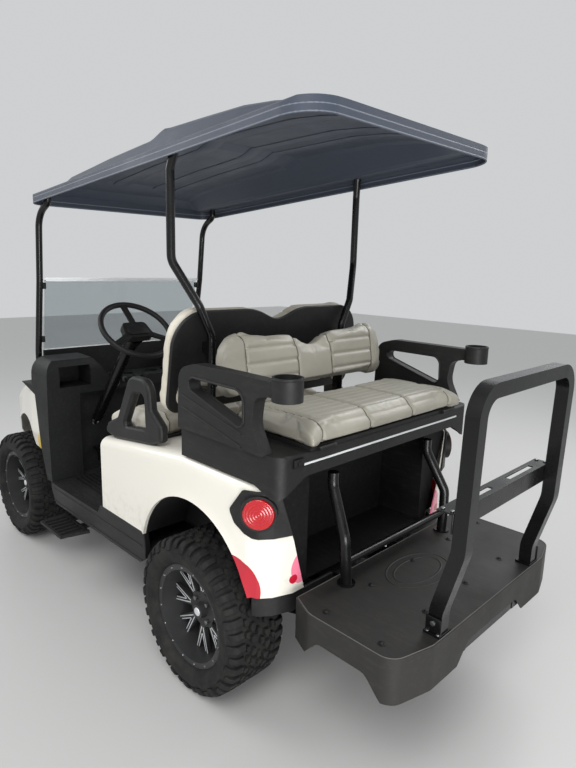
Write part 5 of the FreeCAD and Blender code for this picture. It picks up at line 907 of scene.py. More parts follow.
    def middle_block(self, draft: Draft, outline: Profile, place: float) -> None:
        """One block of the middle rows, wider at its foot."""
        base = self.groove_radius - self.block_sink
        face = draft.face([Vector((along, out * self.corner.sign, 0)) / 1000 + UP * base
                           for along, out in outline])
        middle = Matrix.Translation(-face.calc_center_median())
        far = draft.raised(face, UP * (self.tread_radius - base))
        bmesh.ops.scale(draft.bm, vec=(self.block_taper, self.block_taper, 1.0), space=middle, verts=far)
        draft.turn(list(face.verts) + far, self.turned_share(place, self.pitch_count))

    def shoulder_block(self, draft: Draft, side: Profile, half: float, place: float, sign: int) -> None:
        """One block that wraps over the shoulder."""
        points = [Vector((-half, out * sign * self.corner.sign, radius)) for out, radius in side]
        verts = draft.prism(points, (half * 2, 0, 0), self.block_ease)
        draft.turn(verts, self.turned_share(place, self.pitch_count))

    def build_silver(self) -> None:
        """The machined faces of the split spokes and the cap."""
        draft = Draft()
        lift = self.outward * self.spoke_face
        rise = self.outward * self.silver_rise
        for number in range(self.spoke_count):
            turn = self.turned_share(number, self.spoke_count)
            for sign in (1, -1):
                for inner, outer, width in self.silver_lines:
                    start = Vector((inner[0] * sign, 0, inner[1]))
                    end = Vector((outer[0] * sign, 0, outer[1]))
                    across = (end - start).cross(LEFTWARD).normalized() * width
                    outline = [start - across, start + across, end + across, end - across]
                    draft.turn(draft.prism([point + lift for point in outline], rise, 0.0004), turn)
        draft.drum(self.middle + self.outward * self.cap_face, self.outward, self.cap_radius, self.cap_height,
                   32, self.cap_radius - 0.002, 0.0006)
        draft.finish(f"rim_silver_{self.corner.label}", MACHINED, self.body, 30.0)

    def build_bolts(self) -> None:
        """The small bolts round the flange, the wheel nuts and the valve."""
        draft = Draft()
        flange_spot = UP * self.bolt_circle + self.outward * self.flange_face
        for number in range(self.bolt_count):
            spot = self.turned_share(number + 0.5, self.bolt_count) @ flange_spot
            draft.fasten(self.flange_bolt, spot, self.outward)
        nut_spot = UP * self.nut_circle + self.outward * self.spoke_face
        for number in range(self.nut_count):
            spot = self.turned_share(number + 0.5, self.nut_count) @ nut_spot
            draft.fasten(self.wheel_nut, spot, self.outward)
        valve_spot = UP * self.valve_circle + self.outward * self.valve_face
        draft.fasten(self.valve, self.turned(self.valve_angle) @ valve_spot, self.outward)
        draft.finish(f"rim_bolts_{self.corner.label}", BOLT, self.body, 30.0)


# Seats


@dataclass(frozen=True)
class Seam:
    """A sewn line or channel pressed into a pad, along a plane at a distance along one of its ways."""

    way: str
    place: float
    depth: float
    width: float
    reach: tuple[float, float] = (0.0, math.inf)


def seam_rows(way: str, first: float, pitch: float, count: int, depth: float, width: float,
              reach: tuple[float, float]) -> tuple[Seam, ...]:
    """Evenly pitched seams of one kind.

    Args:
        way: The way in which they follow each other.
        first: Place of the first.
        pitch: Distance from one to the next.
        count: How many there are.
        depth: How deep they are pressed in.
        width: How wide they are.
        reach: The distances from the middle between which they run.

    Returns:
        The seams.
    """
    return tuple(Seam(way, first + pitch * number, depth, width, reach) for number in range(count))


@dataclass(frozen=True)
class Fall:
    """How a pad's top falls towards one of its edges: over which reach, by which share of its height."""

    axis: int
    sign: int
    reach: float
    share: float


@dataclass
class Pad:
    """A seat pad: filled like a cushion from its plain solid, then sewn with its channels and piping."""

    cart: Cart
    node: str
    finish: Finish
    fill: float
    cap: float
    voxel: float = 0.0075
    pressure: float = 4.0
    fill_frames: int = 20
    relaxing: int = 6
    slim: float = 0.010
    seams: tuple[Seam, ...] = ()
    piping: tuple[float, ...] = ()
    piping_radius: float = 0.0021
    piping_steps: int = 60
    falls: tuple[Fall, ...] = ()
    bottom_flat: bool = True
    lean: float = 0.0

    def __post_init__(self) -> None:
        """Take the pad's box and body from the frame."""
        low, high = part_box(self.node)
        self.low = Vector(low)
        self.high = Vector(high)
        self.middle = (self.low + self.high) / 2
        self.body = self.cart.bodies[self.node]
        turn = Matrix.Rotation(math.radians(self.lean), 3, "Y")
        self.ways = {"x": turn @ FORWARD, "y": LEFTWARD, "z": turn @ UP}

    def build(self) -> bpy.types.Object:
        """Make the pad and its piping."""
        piece = self.filled()
        self.subdivide(piece)
        self.fit(piece)
        self.sew(piece)
        mesh = piece.data
        for face in mesh.polygons:
            face.use_smooth = True
        mesh.materials.clear()
        mesh.materials.append(self.finish.build())
        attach(piece, self.body)
        self.cart.stand_in(piece, self.node)
        LOG.info("%s: %d faces on %s", piece.name, len(mesh.polygons), self.body)
        if self.piping:
            self.build_piping(piece)
        return piece

    def filled(self) -> bpy.types.Object:
        """The plain solid, remeshed evenly and blown up like a filled cover."""
        draft = self.cart.merged(self.node)
        size = self.high - self.low
        shares = Vector([(length - 2 * self.slim) / length for length in size])
        bmesh.ops.scale(draft.bm, vec=shares, space=Matrix.Translation(-self.middle),
                        verts=draft.bm.verts[:])
        mesh = bpy.data.meshes.new(f"{self.node}_cover")
        draft.bm.to_mesh(mesh)
        draft.bm.free()
        piece = bpy.data.objects.new(f"{self.node}_cover", mesh)
        bpy.context.scene.collection.objects.link(piece)
        remesh = piece.modifiers.new("even_mesh", "REMESH")
        remesh.mode = "VOXEL"
        remesh.voxel_size = self.voxel
        self.apply(piece)
        relaxed = bmesh.new()
        relaxed.from_mesh(piece.data)
        for vert in relaxed.verts:
            vert.co.z = self.low.z + (vert.co.z - self.low.z) * self.kept_height(vert.co)
        for _ in range(self.relaxing):
            bmesh.ops.smooth_vert(relaxed, verts=relaxed.verts[:], factor=0.5,
                                  use_axis_x=True, use_axis_y=True, use_axis_z=True)
        relaxed.to_mesh(piece.data)
        relaxed.free()
        self.inflate(piece)
        return piece

    def kept_height(self, place: Vector) -> float:
        """The share of its height that the pad keeps at a place, near the edges where its top falls."""
        kept = 1.0
        for fall in self.falls:
            edge = (self.high if fall.sign > 0 else self.low)[fall.axis]
            left = min(1.0, max(0.0, 1.0 - abs(edge - place[fall.axis]) / fall.reach))
            kept = min(kept, 1.0 - fall.share * (1.0 - math.sqrt(1.0 - left ** 2)))
        return kept

    def apply(self, piece: bpy.types.Object) -> None:
        """Keep what the modifiers make of a piece and remove them."""
        graph = bpy.context.evaluated_depsgraph_get()
        made = bpy.data.meshes.new_from_object(piece.evaluated_get(graph))
        piece.modifiers.clear()
        piece.data = made

    def inflate(self, piece: bpy.types.Object) -> None:
        """Run the cover under inside pressure, with each point's movement capped."""
        start = [vert.co.copy() for vert in piece.data.vertices]
        cloth = piece.modifiers.new("fill", "CLOTH")
        cloth.settings.use_pressure = True
        cloth.settings.uniform_pressure_force = self.pressure
        cloth.settings.quality = 4
        cloth.settings.mass = 0.3
        cloth.settings.effector_weights.gravity = 0.0
        scene = bpy.context.scene
        for frame in range(1, self.fill_frames + 1):
            scene.frame_set(frame)
        self.apply(piece)
        scene.frame_set(1)
        for vert, origin in zip(piece.data.vertices, start):
            moved = vert.co - origin
            if moved.length > self.cap:
                vert.co = origin + moved * (self.cap / moved.length)

    def subdivide(self, piece: bpy.types.Object) -> None:
        """One smooth subdivision, kept in the mesh."""
        modifier = piece.modifiers.new("finer", "SUBSURF")
        modifier.levels = modifier.render_levels = 1
        self.apply(piece)

    def fit(self, piece: bpy.types.Object) -> None:
        """Bring the filled cover back to the size of its solid, and flatten what rests on the board."""
        verts = piece.data.vertices
        for axis in range(3):
            places = [vert.co[axis] for vert in verts]
            low = self.low.z if axis == 2 and self.bottom_flat else min(places)
            scale = (self.high[axis] - self.low[axis]) / (max(places) - low)
            for vert in verts:
                vert.co[axis] = max(self.low[axis], self.low[axis] + (vert.co[axis] - low) * scale)

    def sew(self, piece: bpy.types.Object) -> None:
        """Press the seams in."""
        verts = piece.data.vertices
        normals = [vert.normal.copy() for vert in verts]
        for vert, normal in zip(verts, normals):
            offset = vert.co - self.middle
            vert.co = vert.co - normal * sum(self.seam_depth(seam, offset) for seam in self.seams)

    def seam_depth(self, seam: Seam, offset: Vector) -> float:
        """How deep a seam presses the cover in at an offset from the pad's middle."""
        across = abs(offset.dot(self.ways["y"]))
        if seam.way == "y":
            place = across
        elif seam.reach[0] < across < seam.reach[1]:
            place = offset.dot(self.ways[seam.way])
        else:
            return 0.0
        widths = abs(place - seam.place) / seam.width
        return seam.depth * math.exp(-widths ** 2) if widths < 2.5 else 0.0

    def build_piping(self, piece: bpy.types.Object) -> None:
        """Lay the piping cord into its seams, round the faces that show."""
        tree = BVHTree.FromObject(piece, bpy.context.evaluated_depsgraph_get())
        draft = Draft()
        for place in self.piping:
            for sign in (1, -1):
                draft.rope(self.round_the_pad(tree, place * sign), self.piping_radius, 6, over=LEFTWARD)
        draft.finish(f"{self.node}_piping", PIPING, self.body, 60.0)

    def round_the_pad(self, tree: BVHTree, across: float) -> list[Vector]:
        """Points on the pad's surface at a distance across it: over its top, or round a back's face."""
        start, end = (-20, 200) if self.bottom_flat else (10, 170)
        centre = Vector((self.middle.x, across, self.middle.z))
        first, second = (FORWARD, UP) if self.bottom_flat else (self.ways["z"], -self.ways["x"])
        outside = (self.high - self.low).length
        points = []
        for step in range(self.piping_steps + 1):
            angle = math.radians(start + (end - start) * step / self.piping_steps)
            way = first * math.cos(angle) + second * math.sin(angle)
            hit = tree.ray_cast(centre + way * outside, -way)[0]
            if hit is not None:
                points.append(hit)
        return points


@dataclass
class Seats:
    """The front bench and the rear-facing bench."""

    cart: Cart
    rear_piping: tuple[float, ...] = (0.130, 0.385)
    back_piping: tuple[float, ...] = (0.098, 0.366)
    rear_lean: float = 12.0
    front_lean: float = -9.0
    fill: float = 0.7
    ribbed_half: float = 0.40
    # Half widths between which the front back's channels run
    front_channels: tuple[float, float] = (0.08, PALE_FROM)

    def build(self) -> None:
        """Make the four pads."""
        self.build_rear_cushion()
        self.build_rear_back()
        self.build_front_cushion()
        self.build_front_back()

    def build_rear_cushion(self) -> None:
        """The rear-facing cushion: piping front to back, fine ribs across, and falling edges."""
        ribs = seam_rows("x", -0.150, 0.036, 9, 0.0022, 0.0042, (0.0, self.ribbed_half))
        seams = tuple(Seam("y", place, 0.0075, 0.0085) for place in self.rear_piping)
        ends = tuple(Fall(1, sign, 0.12, 0.4) for sign in (1, -1))
        Pad(self.cart, "rear_seat_cushion", GREY_VINYL, self.fill, 0.026, slim=0.006, seams=seams + ribs,
            piping=self.rear_piping, falls=(Fall(0, -1, 0.13, 0.5), Fall(0, 1, 0.06, 0.3), *ends)).build()

    def build_rear_back(self) -> None:
        """The rear-facing back: two humps with channels between their piping."""
        seams = tuple(Seam("y", place, 0.006, 0.0075) for place in self.back_piping)
        channels = seam_rows("z", -0.064, 0.058, 4, 0.0065, 0.0075, self.back_piping)
        Pad(self.cart, "rear_seat_back", GREY_VINYL, self.fill, 0.022, slim=0.010, seams=seams + channels,
            piping=self.back_piping, bottom_flat=False, lean=self.rear_lean).build()

    def build_front_cushion(self) -> None:
        """The front cushion: pale sides round a grey channelled middle."""
        ribs = seam_rows("x", -0.130, 0.052, 6, 0.004, 0.007, (0.0, self.ribbed_half))
        seams = (Seam("y", PALE_FROM, 0.007, 0.008), Seam("y", 0.02, 0.005, 0.008))
        Pad(self.cart, "front_seat_cushion", LIGHT_VINYL, self.fill, 0.026, slim=0.012, seams=seams + ribs,
            piping=(PALE_FROM,)).build()

    def build_front_back(self) -> None:
        """The front back: pale sides round grey channelled humps."""
        channels = seam_rows("z", -0.110, 0.062, 5, 0.006, 0.0075, self.front_channels)
        inner, outer = self.front_channels
        seams = (Seam("y", outer, 0.006, 0.008), Seam("y", inner, 0.005, 0.008))
        Pad(self.cart, "front_seat_back", CREAM_VINYL, self.fill, 0.02, voxel=0.009, slim=0.008,
            seams=seams + channels, bottom_flat=False, lean=self.front_lean).build()


# Roof and glass


@dataclass
class RoofTrim:
    """The roof's band beads, the joint in its rear band and the ribs under it."""

    cart: Cart
    front: float = ahead(1.419)
    rear: float = ahead(-0.460)
    half: float = 0.538
    edge_front: float = 1.814
    edge_rear: float = 1.966
    front_round: float = 0.070
    rear_round: float = 0.120
    bead_heights: tuple[float, ...] = (0.0035, 0.0245)
    bead_radius: float = 0.0034
    bead_inset: float = 0.0026
    joint_depth: float = 0.012
    joint_across: tuple[float, float] = (0.030, 0.046)
    joint_above: tuple[float, float] = (0.002, 0.044)
    rib_places: tuple[float, ...] = (0.115, 0.245)
    rib_radius: float = 0.040
    rib_flatness: float = 0.12
    rib_sink: float = 0.0015
    rib_rear_gap: float = 0.12
    rib_front_gap: float = 0.14
    rib_steps: int = 40

    def edge(self, x: float) -> float:
        """Height of the roof's lower edge, which rises towards the rear."""
        share = (self.front - x) / (self.front - self.rear)
        return self.edge_front + (self.edge_rear - self.edge_front) * share

    def plan(self, inset: float) -> list[Vector]:
        """The roof's rounded plan outline, flat."""
        front = (self.front - inset, self.front_round - inset)
        rear = (self.rear + inset, self.rear_round - inset)
        corners = [(Vector((x, sign * (self.half - inset), 0)), radius)
                   for (x, radius), sign in ((front, -1), (front, 1), (rear, 1), (rear, -1))]
        return rounded_loop(corners, 10)

    def build(self) -> None:
        """Make the roof's parts."""
        body = self.cart.bodies["roof"]
        draft = Draft()
        for height in self.bead_heights:
            path = [point + UP * (self.edge(point.x) + height) for point in self.plan(self.bead_inset)]
            draft.rope(path, self.bead_radius, 8, closed=True)
        edge = self.edge(self.rear)
        lows, highs = zip(self.joint_across, self.joint_above)
        draft.block((self.rear + 0.0005, lows[0], edge + lows[1]),
                    (self.rear + self.joint_depth, highs[0], edge + highs[1]), 0.002)
        draft.finish("roof_band_beads", ROOF_EDGE, body, 50.0)
        self.build_ribs(body)

    def build_ribs(self, body: str) -> None:
        """Long ribs that follow the underside of the crown."""
        tree = self.cart.surface("roof")
        start = self.rear + self.rib_rear_gap
        length = self.front - self.rib_front_gap - start
        draft = Draft()
        for place in self.rib_places:
            for sign in (1, -1):
                path = []
                for step in range(self.rib_steps + 1):
                    below = Vector((start + length * step / self.rib_steps, place * sign, 1.5))
                    path.append(tree.ray_cast(below, UP)[0] - UP * self.rib_sink)
                draft.rope(path, self.rib_radius, 14, flat=self.rib_flatness)
        draft.finish("roof_under_ribs", ROOF_DARK, body, 50.0)


@dataclass
class GlassTrim:
    """Near-white strips painted as the glints on the windshield sheets' edges and fold, its sill bar and its
    clips.
    """

    cart: Cart
    half: float = 0.470
    fold: float = 1.450
    fold_ahead: float = 1.432
    low: float = 1.080
    low_ahead: float = 1.498
    # Faces of the bars above this height get the near-white painted glint
    bright_above: float = 1.350
    clip_heights: tuple[float, ...] = (1.14, 1.42)
    clip_across: float = 0.478
    clip_half: float = 0.008
    clip_half_height: float = 0.016

    def build(self) -> None:
        """Make the painted glint edges, the bars and the clips."""
        body = self.cart.bodies["windshield_lower"]
        self.build_edges(body)
        self.build_bars(body)
        self.build_clips(body)

    def build_edges(self, body: str) -> None:
        """Near-white strips on the sheets' edges, at the fold and at the sill, painted as their glints."""
        draft = Draft()
        fold_x = ahead(self.fold_ahead)
        draft.block((fold_x - 0.0005, -self.half, self.fold - 0.0075),
                    (fold_x + 0.0175, self.half, self.fold + 0.0004), 0.002)
        low_x = ahead(self.low_ahead)
        draft.block((low_x - 0.0006, -self.half, self.low + 0.0005),
                    (low_x + 0.0056, self.half, self.low + 0.0045), 0.001)
        draft.finish("windshield_edges", PAINTED_GLINT_EDGE, body)

    def build_bars(self, body: str) -> None:
        """The windshield's two bars: the fold bar painted near-white as its glint, the sill bar black."""
        bars = self.cart.merged("windshield_trim").finish("windshield_bars", PAINTED_GLINT_EDGE, body, outward=False)
        bars.data.materials.append(GRIP.build())
        for face in bars.data.polygons:
            # Painted glint above the height, black grip below it
            face.material_index = int(face.center.z < self.bright_above)
        self.cart.stand_in(bars, "windshield_trim")

    def build_clips(self, body: str) -> None:
        """The clips that hold the sheets to the struts."""
        clips = Draft()
        for sign in (1, -1):
            y = sign * self.clip_across
            for height in self.clip_heights:
                share = (height - self.low) / (self.fold - self.low)
                x = ahead(self.low_ahead + (self.fold_ahead - self.low_ahead) * share)
                clips.block((x - 0.012, y - self.clip_half, height - self.clip_half_height),
                            (x + 0.020, y + self.clip_half, height + self.clip_half_height), 0.003)
        clips.finish("windshield_clips", GRIP, body)


# Rear bench furniture


@dataclass
class BenchTrim:
    """The strip and catch of the rear tray, the armrests' lips and the cup liners."""

    cart: Cart
    strip_height: float = 0.9475
    strip_half: float = 0.470
    strip_thick: float = 0.0035
    catch_across: float = 0.490
    catch_height: float = 0.958
    catch_button: Fastener = Fastener(0.008, 0.004, 16, bevel=0.001)
    tray_rear: float = ahead(-0.409)
    arm_top: float = 1.225
    arm_low: float = 0.9863
    arm_in: float = 0.548
    arm_thick: float = 0.046
    cup_ahead: float = -0.430
    cup_top: float = 1.240
    cup_radius: float = 0.047
    cup_ribs: int = 5
    lip_radius: float = 0.0042
    gusset_drops: tuple[float, ...] = (0.018, 0.060)

    def build(self) -> None:
        """Make the bench's small parts."""
        self.build_strip()
        for side in Side:
            self.build_arm(side)

    def build_strip(self) -> None:
        """The bright strip along the tray's rear face and the catch at its end."""
        body = self.cart.bodies["rear_seat_tray"]
        draft = Draft()
        face = self.tray_rear
        draft.block((face - self.strip_thick, -self.strip_half, self.strip_height - self.strip_thick),
                    (face + 0.0005, self.strip_half, self.strip_height + self.strip_thick), 0.0012)
        draft.finish("tray_bright_strip", BRIGHT, body)
        catch = Draft()
        spot = Vector((face, self.catch_across, self.catch_height))
        catch.block(spot - Vector((0.010, 0.022, 0.014)), spot + Vector((0.001, 0.022, 0.014)), 0.003)
        catch.fasten(self.catch_button, spot - FORWARD * 0.010, -FORWARD)
        catch.finish("tray_catch", GRIP, body)

    def hole(self, y: float, grow: float) -> list[Vector]:
        """Outline of the space in an armrest, grown all round."""
        # Station, height and rounding of each corner
        corners = ((0.0, self.arm_top - 0.050, 0.030), (-0.262, self.arm_top - 0.052, 0.034),
                   (-0.268, self.arm_low + 0.062, 0.020), (0.022, self.arm_top - 0.088, 0.020))
        middle = Vector((ahead(-0.13), y, self.arm_top - 0.11))
        grown = []
        for station, height, radius in corners:
            corner = Vector((ahead(station), y, height))
            grown.append((corner + (corner - middle).normalized() * grow, radius + grow))
        return rounded_loop(grown, 6)

    def build_arm(self, side: Side) -> None:
        """An armrest's raised lips, the ribs of its gusset and the lining of its cup."""
        body = self.cart.bodies[f"armrest_{side.label}"]
        sign = side.value
        draft = Draft()
        outer = self.arm_in + self.arm_thick
        for face in (self.arm_in, outer):
            draft.rope(self.hole(face * sign, 0.006), self.lip_radius, 8, closed=True, over=LEFTWARD)
        for drop in self.gusset_drops:
            draft.rope([(ahead(0.055), outer * sign, self.arm_top - 0.10 - drop),
                        (ahead(-0.262), outer * sign, self.arm_low + 0.068 - drop)], 0.0035, 8, over=LEFTWARD)
        cup_across = (self.arm_in + self.arm_thick / 2 - 0.008) * sign
        self.line_cup(draft, Vector((ahead(self.cup_ahead), cup_across, self.cup_top)))
        draft.finish(f"armrest_{side.label}_lips", CHARCOAL, body, 50.0)

    def line_cup(self, draft: Draft, middle: Vector) -> None:
        """The rim of a cup holder and the ribs down its wall."""
        radius = self.cup_radius
        rim = ((-0.0005, radius - 0.0055), (0.0, radius - 0.0005), (-0.006, radius + 0.0015),
               (-0.008, radius - 0.0005), (-0.008, radius - 0.0055))
        draft.lathe(rim, middle, UP, 40, closed=True)
        for number in range(self.cup_ribs):
            angle = math.tau * number / self.cup_ribs
            spot = middle + (FORWARD * math.cos(angle) + LEFTWARD * math.sin(angle)) * (radius - 0.0062)
            draft.rope([spot - UP * 0.062, spot - UP * 0.006], 0.003, 8, over=FORWARD)


# Foot deck and grab bar


@dataclass
class DeckTrim:
    """Bolts, painted edge highlight and moulded oval of the foot deck, and the grab bar's feet and ledge."""

    cart: Cart
    top: float = 0.507
    front: float = ahead(-0.420)
    rear: float = ahead(-0.860)
    half: float = 0.530
    bolt_rows: tuple[float, ...] = (-0.542, -0.752)
    bolt_places: tuple[float, ...] = (0.0, 0.250, -0.250, 0.480, -0.480)
    oval_middle: tuple[float, float] = (ahead(-0.590), 0.045)
    oval_radii: tuple[float, float] = (0.062, 0.118)
    oval_grows: tuple[float, ...] = (0.0, 0.028)
    bar_half: float = 0.310
    bar_foot: float = ahead(-0.829)
    bracket_half: float = 0.026
    bracket_thick: float = 0.006
    ledge_top: float = 0.893
    ledge_bolt_heights: tuple[float, ...] = (0.848, 0.876)
    ledge_bolt_shifts: tuple[float, ...] = (0.012, 0.042)
    foot_bolt_shifts: tuple[float, ...] = (-0.018, 0.018)
    washer: Fastener = Fastener(0.0125, 0.0016, 20, bevel=0.0004)
    deck_bolt: Fastener = Fastener(0.0080, 0.0046, 16, 0.0045, 0.001)
    side_bolt: Fastener = Fastener(0.0085, 0.006, 6, bevel=0.001)
    foot_bolt: Fastener = Fastener(0.006, 0.005, 6, bevel=0.001)
    ledge_face_bolt: Fastener = Fastener(0.0075, 0.006, 6, bevel=0.001)
    ledge_top_bolt: Fastener = Fastener(0.0062, 0.0045, 12, bevel=0.001)

    def edge(self, inset: float) -> list[Vector]:
        """The deck's plan outline, drawn inward."""
        front, rear, half = self.front, self.rear, self.half
        # Place forward, place to the left and rounding of each corner
        corners = [(front - inset, half - 0.040 - inset, 0), (front - 0.090, half - inset, 0.090 - inset),
                   (rear + 0.040 + inset / 2, half - inset, 0.060 - inset),
                   (rear + inset, half - 0.150 - inset / 2, 0.060 - inset)]
        points = [(Vector((x, y, self.top)), radius) for x, y, radius in corners]
        other = [(Vector((x, -y, self.top)), radius) for x, y, radius in reversed(corners)]
        return rounded_loop(points + other, 6)

    def build(self) -> None:
        """Make the deck's small parts."""
        self.build_edge()
        self.build_bolts()
        self.build_bar_parts()

    def build_edge(self) -> None:
        """A pale bead round the deck, painted as the highlight along its edge, and the moulded oval in its
        middle.
        """
        body = self.cart.bodies["foot_deck"]
        draft = Draft()
        # Painted highlight: a pale bead laid along the deck's edge
        draft.rope(self.edge(0.004), 0.0016, 6, closed=True)
        draft.finish("foot_deck_edge", EDGE_HIGHLIGHT, body, 60.0)
        oval = Draft()
        middle = Vector((*self.oval_middle, self.top))
        deep, wide = self.oval_radii
        angles = [math.tau * step / 48 for step in range(48)]
        for grow in self.oval_grows:
            ring = [middle + FORWARD * (deep + grow) * math.cos(angle)
                    + LEFTWARD * (wide + grow) * math.sin(angle) for angle in angles]
            oval.rope(ring, 0.004, 8, closed=True, flat=0.45)
        oval.finish("foot_deck_oval", DECK_BROWN, body, 60.0)

    def build_bolts(self) -> None:
        """Round-headed bolts with washers in two rows."""
        draft = Draft()
        for station in self.bolt_rows:
            for place in self.bolt_places:
                spot = Vector((ahead(station), place, self.top))
                draft.fasten(self.washer, spot, UP)
                draft.fasten(self.deck_bolt, spot + UP * self.washer.height, UP)
        draft.finish("foot_deck_bolts", GRIP, self.cart.bodies["foot_deck"])

    def build_bar_parts(self) -> None:
        """Brackets and bolts at the bar's feet, and the bolts of its ledge."""
        body = self.cart.bodies["grab_bar"]
        ledge_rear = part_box("grab_bar_ledge")[0][0]
        brackets = Draft()
        bolts = Draft()
        for sign in (1, -1):
            inner = (self.bar_half + 0.024) * sign
            outer = inner + self.bracket_thick * sign
            brackets.block((self.bar_foot - self.bracket_half, min(inner, outer), self.top + 0.008),
                           (self.bar_foot + self.bracket_half, max(inner, outer), self.top + 0.058), 0.002)
            bolts.fasten(self.side_bolt, (self.bar_foot, outer, self.top + 0.040), LEFTWARD * sign)
            for shift in self.foot_bolt_shifts:
                bolts.fasten(self.foot_bolt, (self.bar_foot + shift, outer, self.top + 0.007), UP)
            for height in self.ledge_bolt_heights:
                face_spot = (ledge_rear + 0.0048, sign * self.bar_half, height)
                bolts.fasten(self.ledge_face_bolt, face_spot, FORWARD)
            for shift in self.ledge_bolt_shifts:
                across = sign * (self.bar_half + 0.010)
                bolts.fasten(self.ledge_top_bolt, (ledge_rear + shift, across, self.ledge_top), UP)
        brackets.finish("bar_foot_brackets", STEEL, body)
        bolts.finish("grab_bar_bolts", BOLT, body)


# Lamps and cab details


@dataclass
class TailLamps:
    """Round ribbed lenses on the rear corners."""

    cart: Cart
    radius: float = 0.0515
    rings: int = 5
    ring_steps: int = 6
    ripple: float = 0.0007
    dome: float = 0.003

    def build(self) -> None:
        """Make both lenses in place of the plain ones."""
        draft = Draft()
        mesh = self.cart.frame["nodes"]["tail_lights"].data
        for side in Side:
            points = [vert.co for vert in mesh.vertices if vert.co.y * side.value > 0]
            middle = sum(points, Vector()) / len(points)
            way = self.way(mesh, side)
            depth = max((point - middle).dot(way) for point in points)
            draft.lathe(self.profile(depth), middle, way, 64)
        lens = draft.finish("tail_lenses", RED_LENS, self.cart.bodies["tail_lights"], 50.0)
        self.cart.stand_in(lens, "tail_lights")

    def way(self, mesh: bpy.types.Mesh, side: Side) -> Vector:
        """The direction in which a lens looks: that of the largest face of its side."""
        found = [face for face in mesh.polygons if face.center.y * side.value > 0 and face.normal.x < -0.1
                 and abs(face.normal.z) < 0.1 and face.normal.y * side.value > 0.1]
        return max(found, key=lambda face: face.area).normal.copy()

    def profile(self, depth: float) -> list[tuple[float, float]]:
        """Half section of a lens: a flat back, a rim, and rings over a shallow dome."""
        points = [(-depth, 0.0), (-depth, self.radius), (depth - 0.007, self.radius),
                  (depth - 0.0045, self.radius - 0.002)]
        steps = self.rings * self.ring_steps
        for step in range(1, steps):
            share = step / steps
            radius = (self.radius - 0.004) * (1 - share)
            ripple = self.ripple * math.cos(math.tau * self.rings * share)
            points.append((depth - 0.0012 - self.dome * (radius / self.radius) ** 2 + ripple, radius))
        return points + [(depth - 0.0002, 0.0)]


class Control(Enum):
    """Kinds of control on the dash."""

    KEY = "key"
    ROCKER = "rocker"
    GAUGE = "gauge"


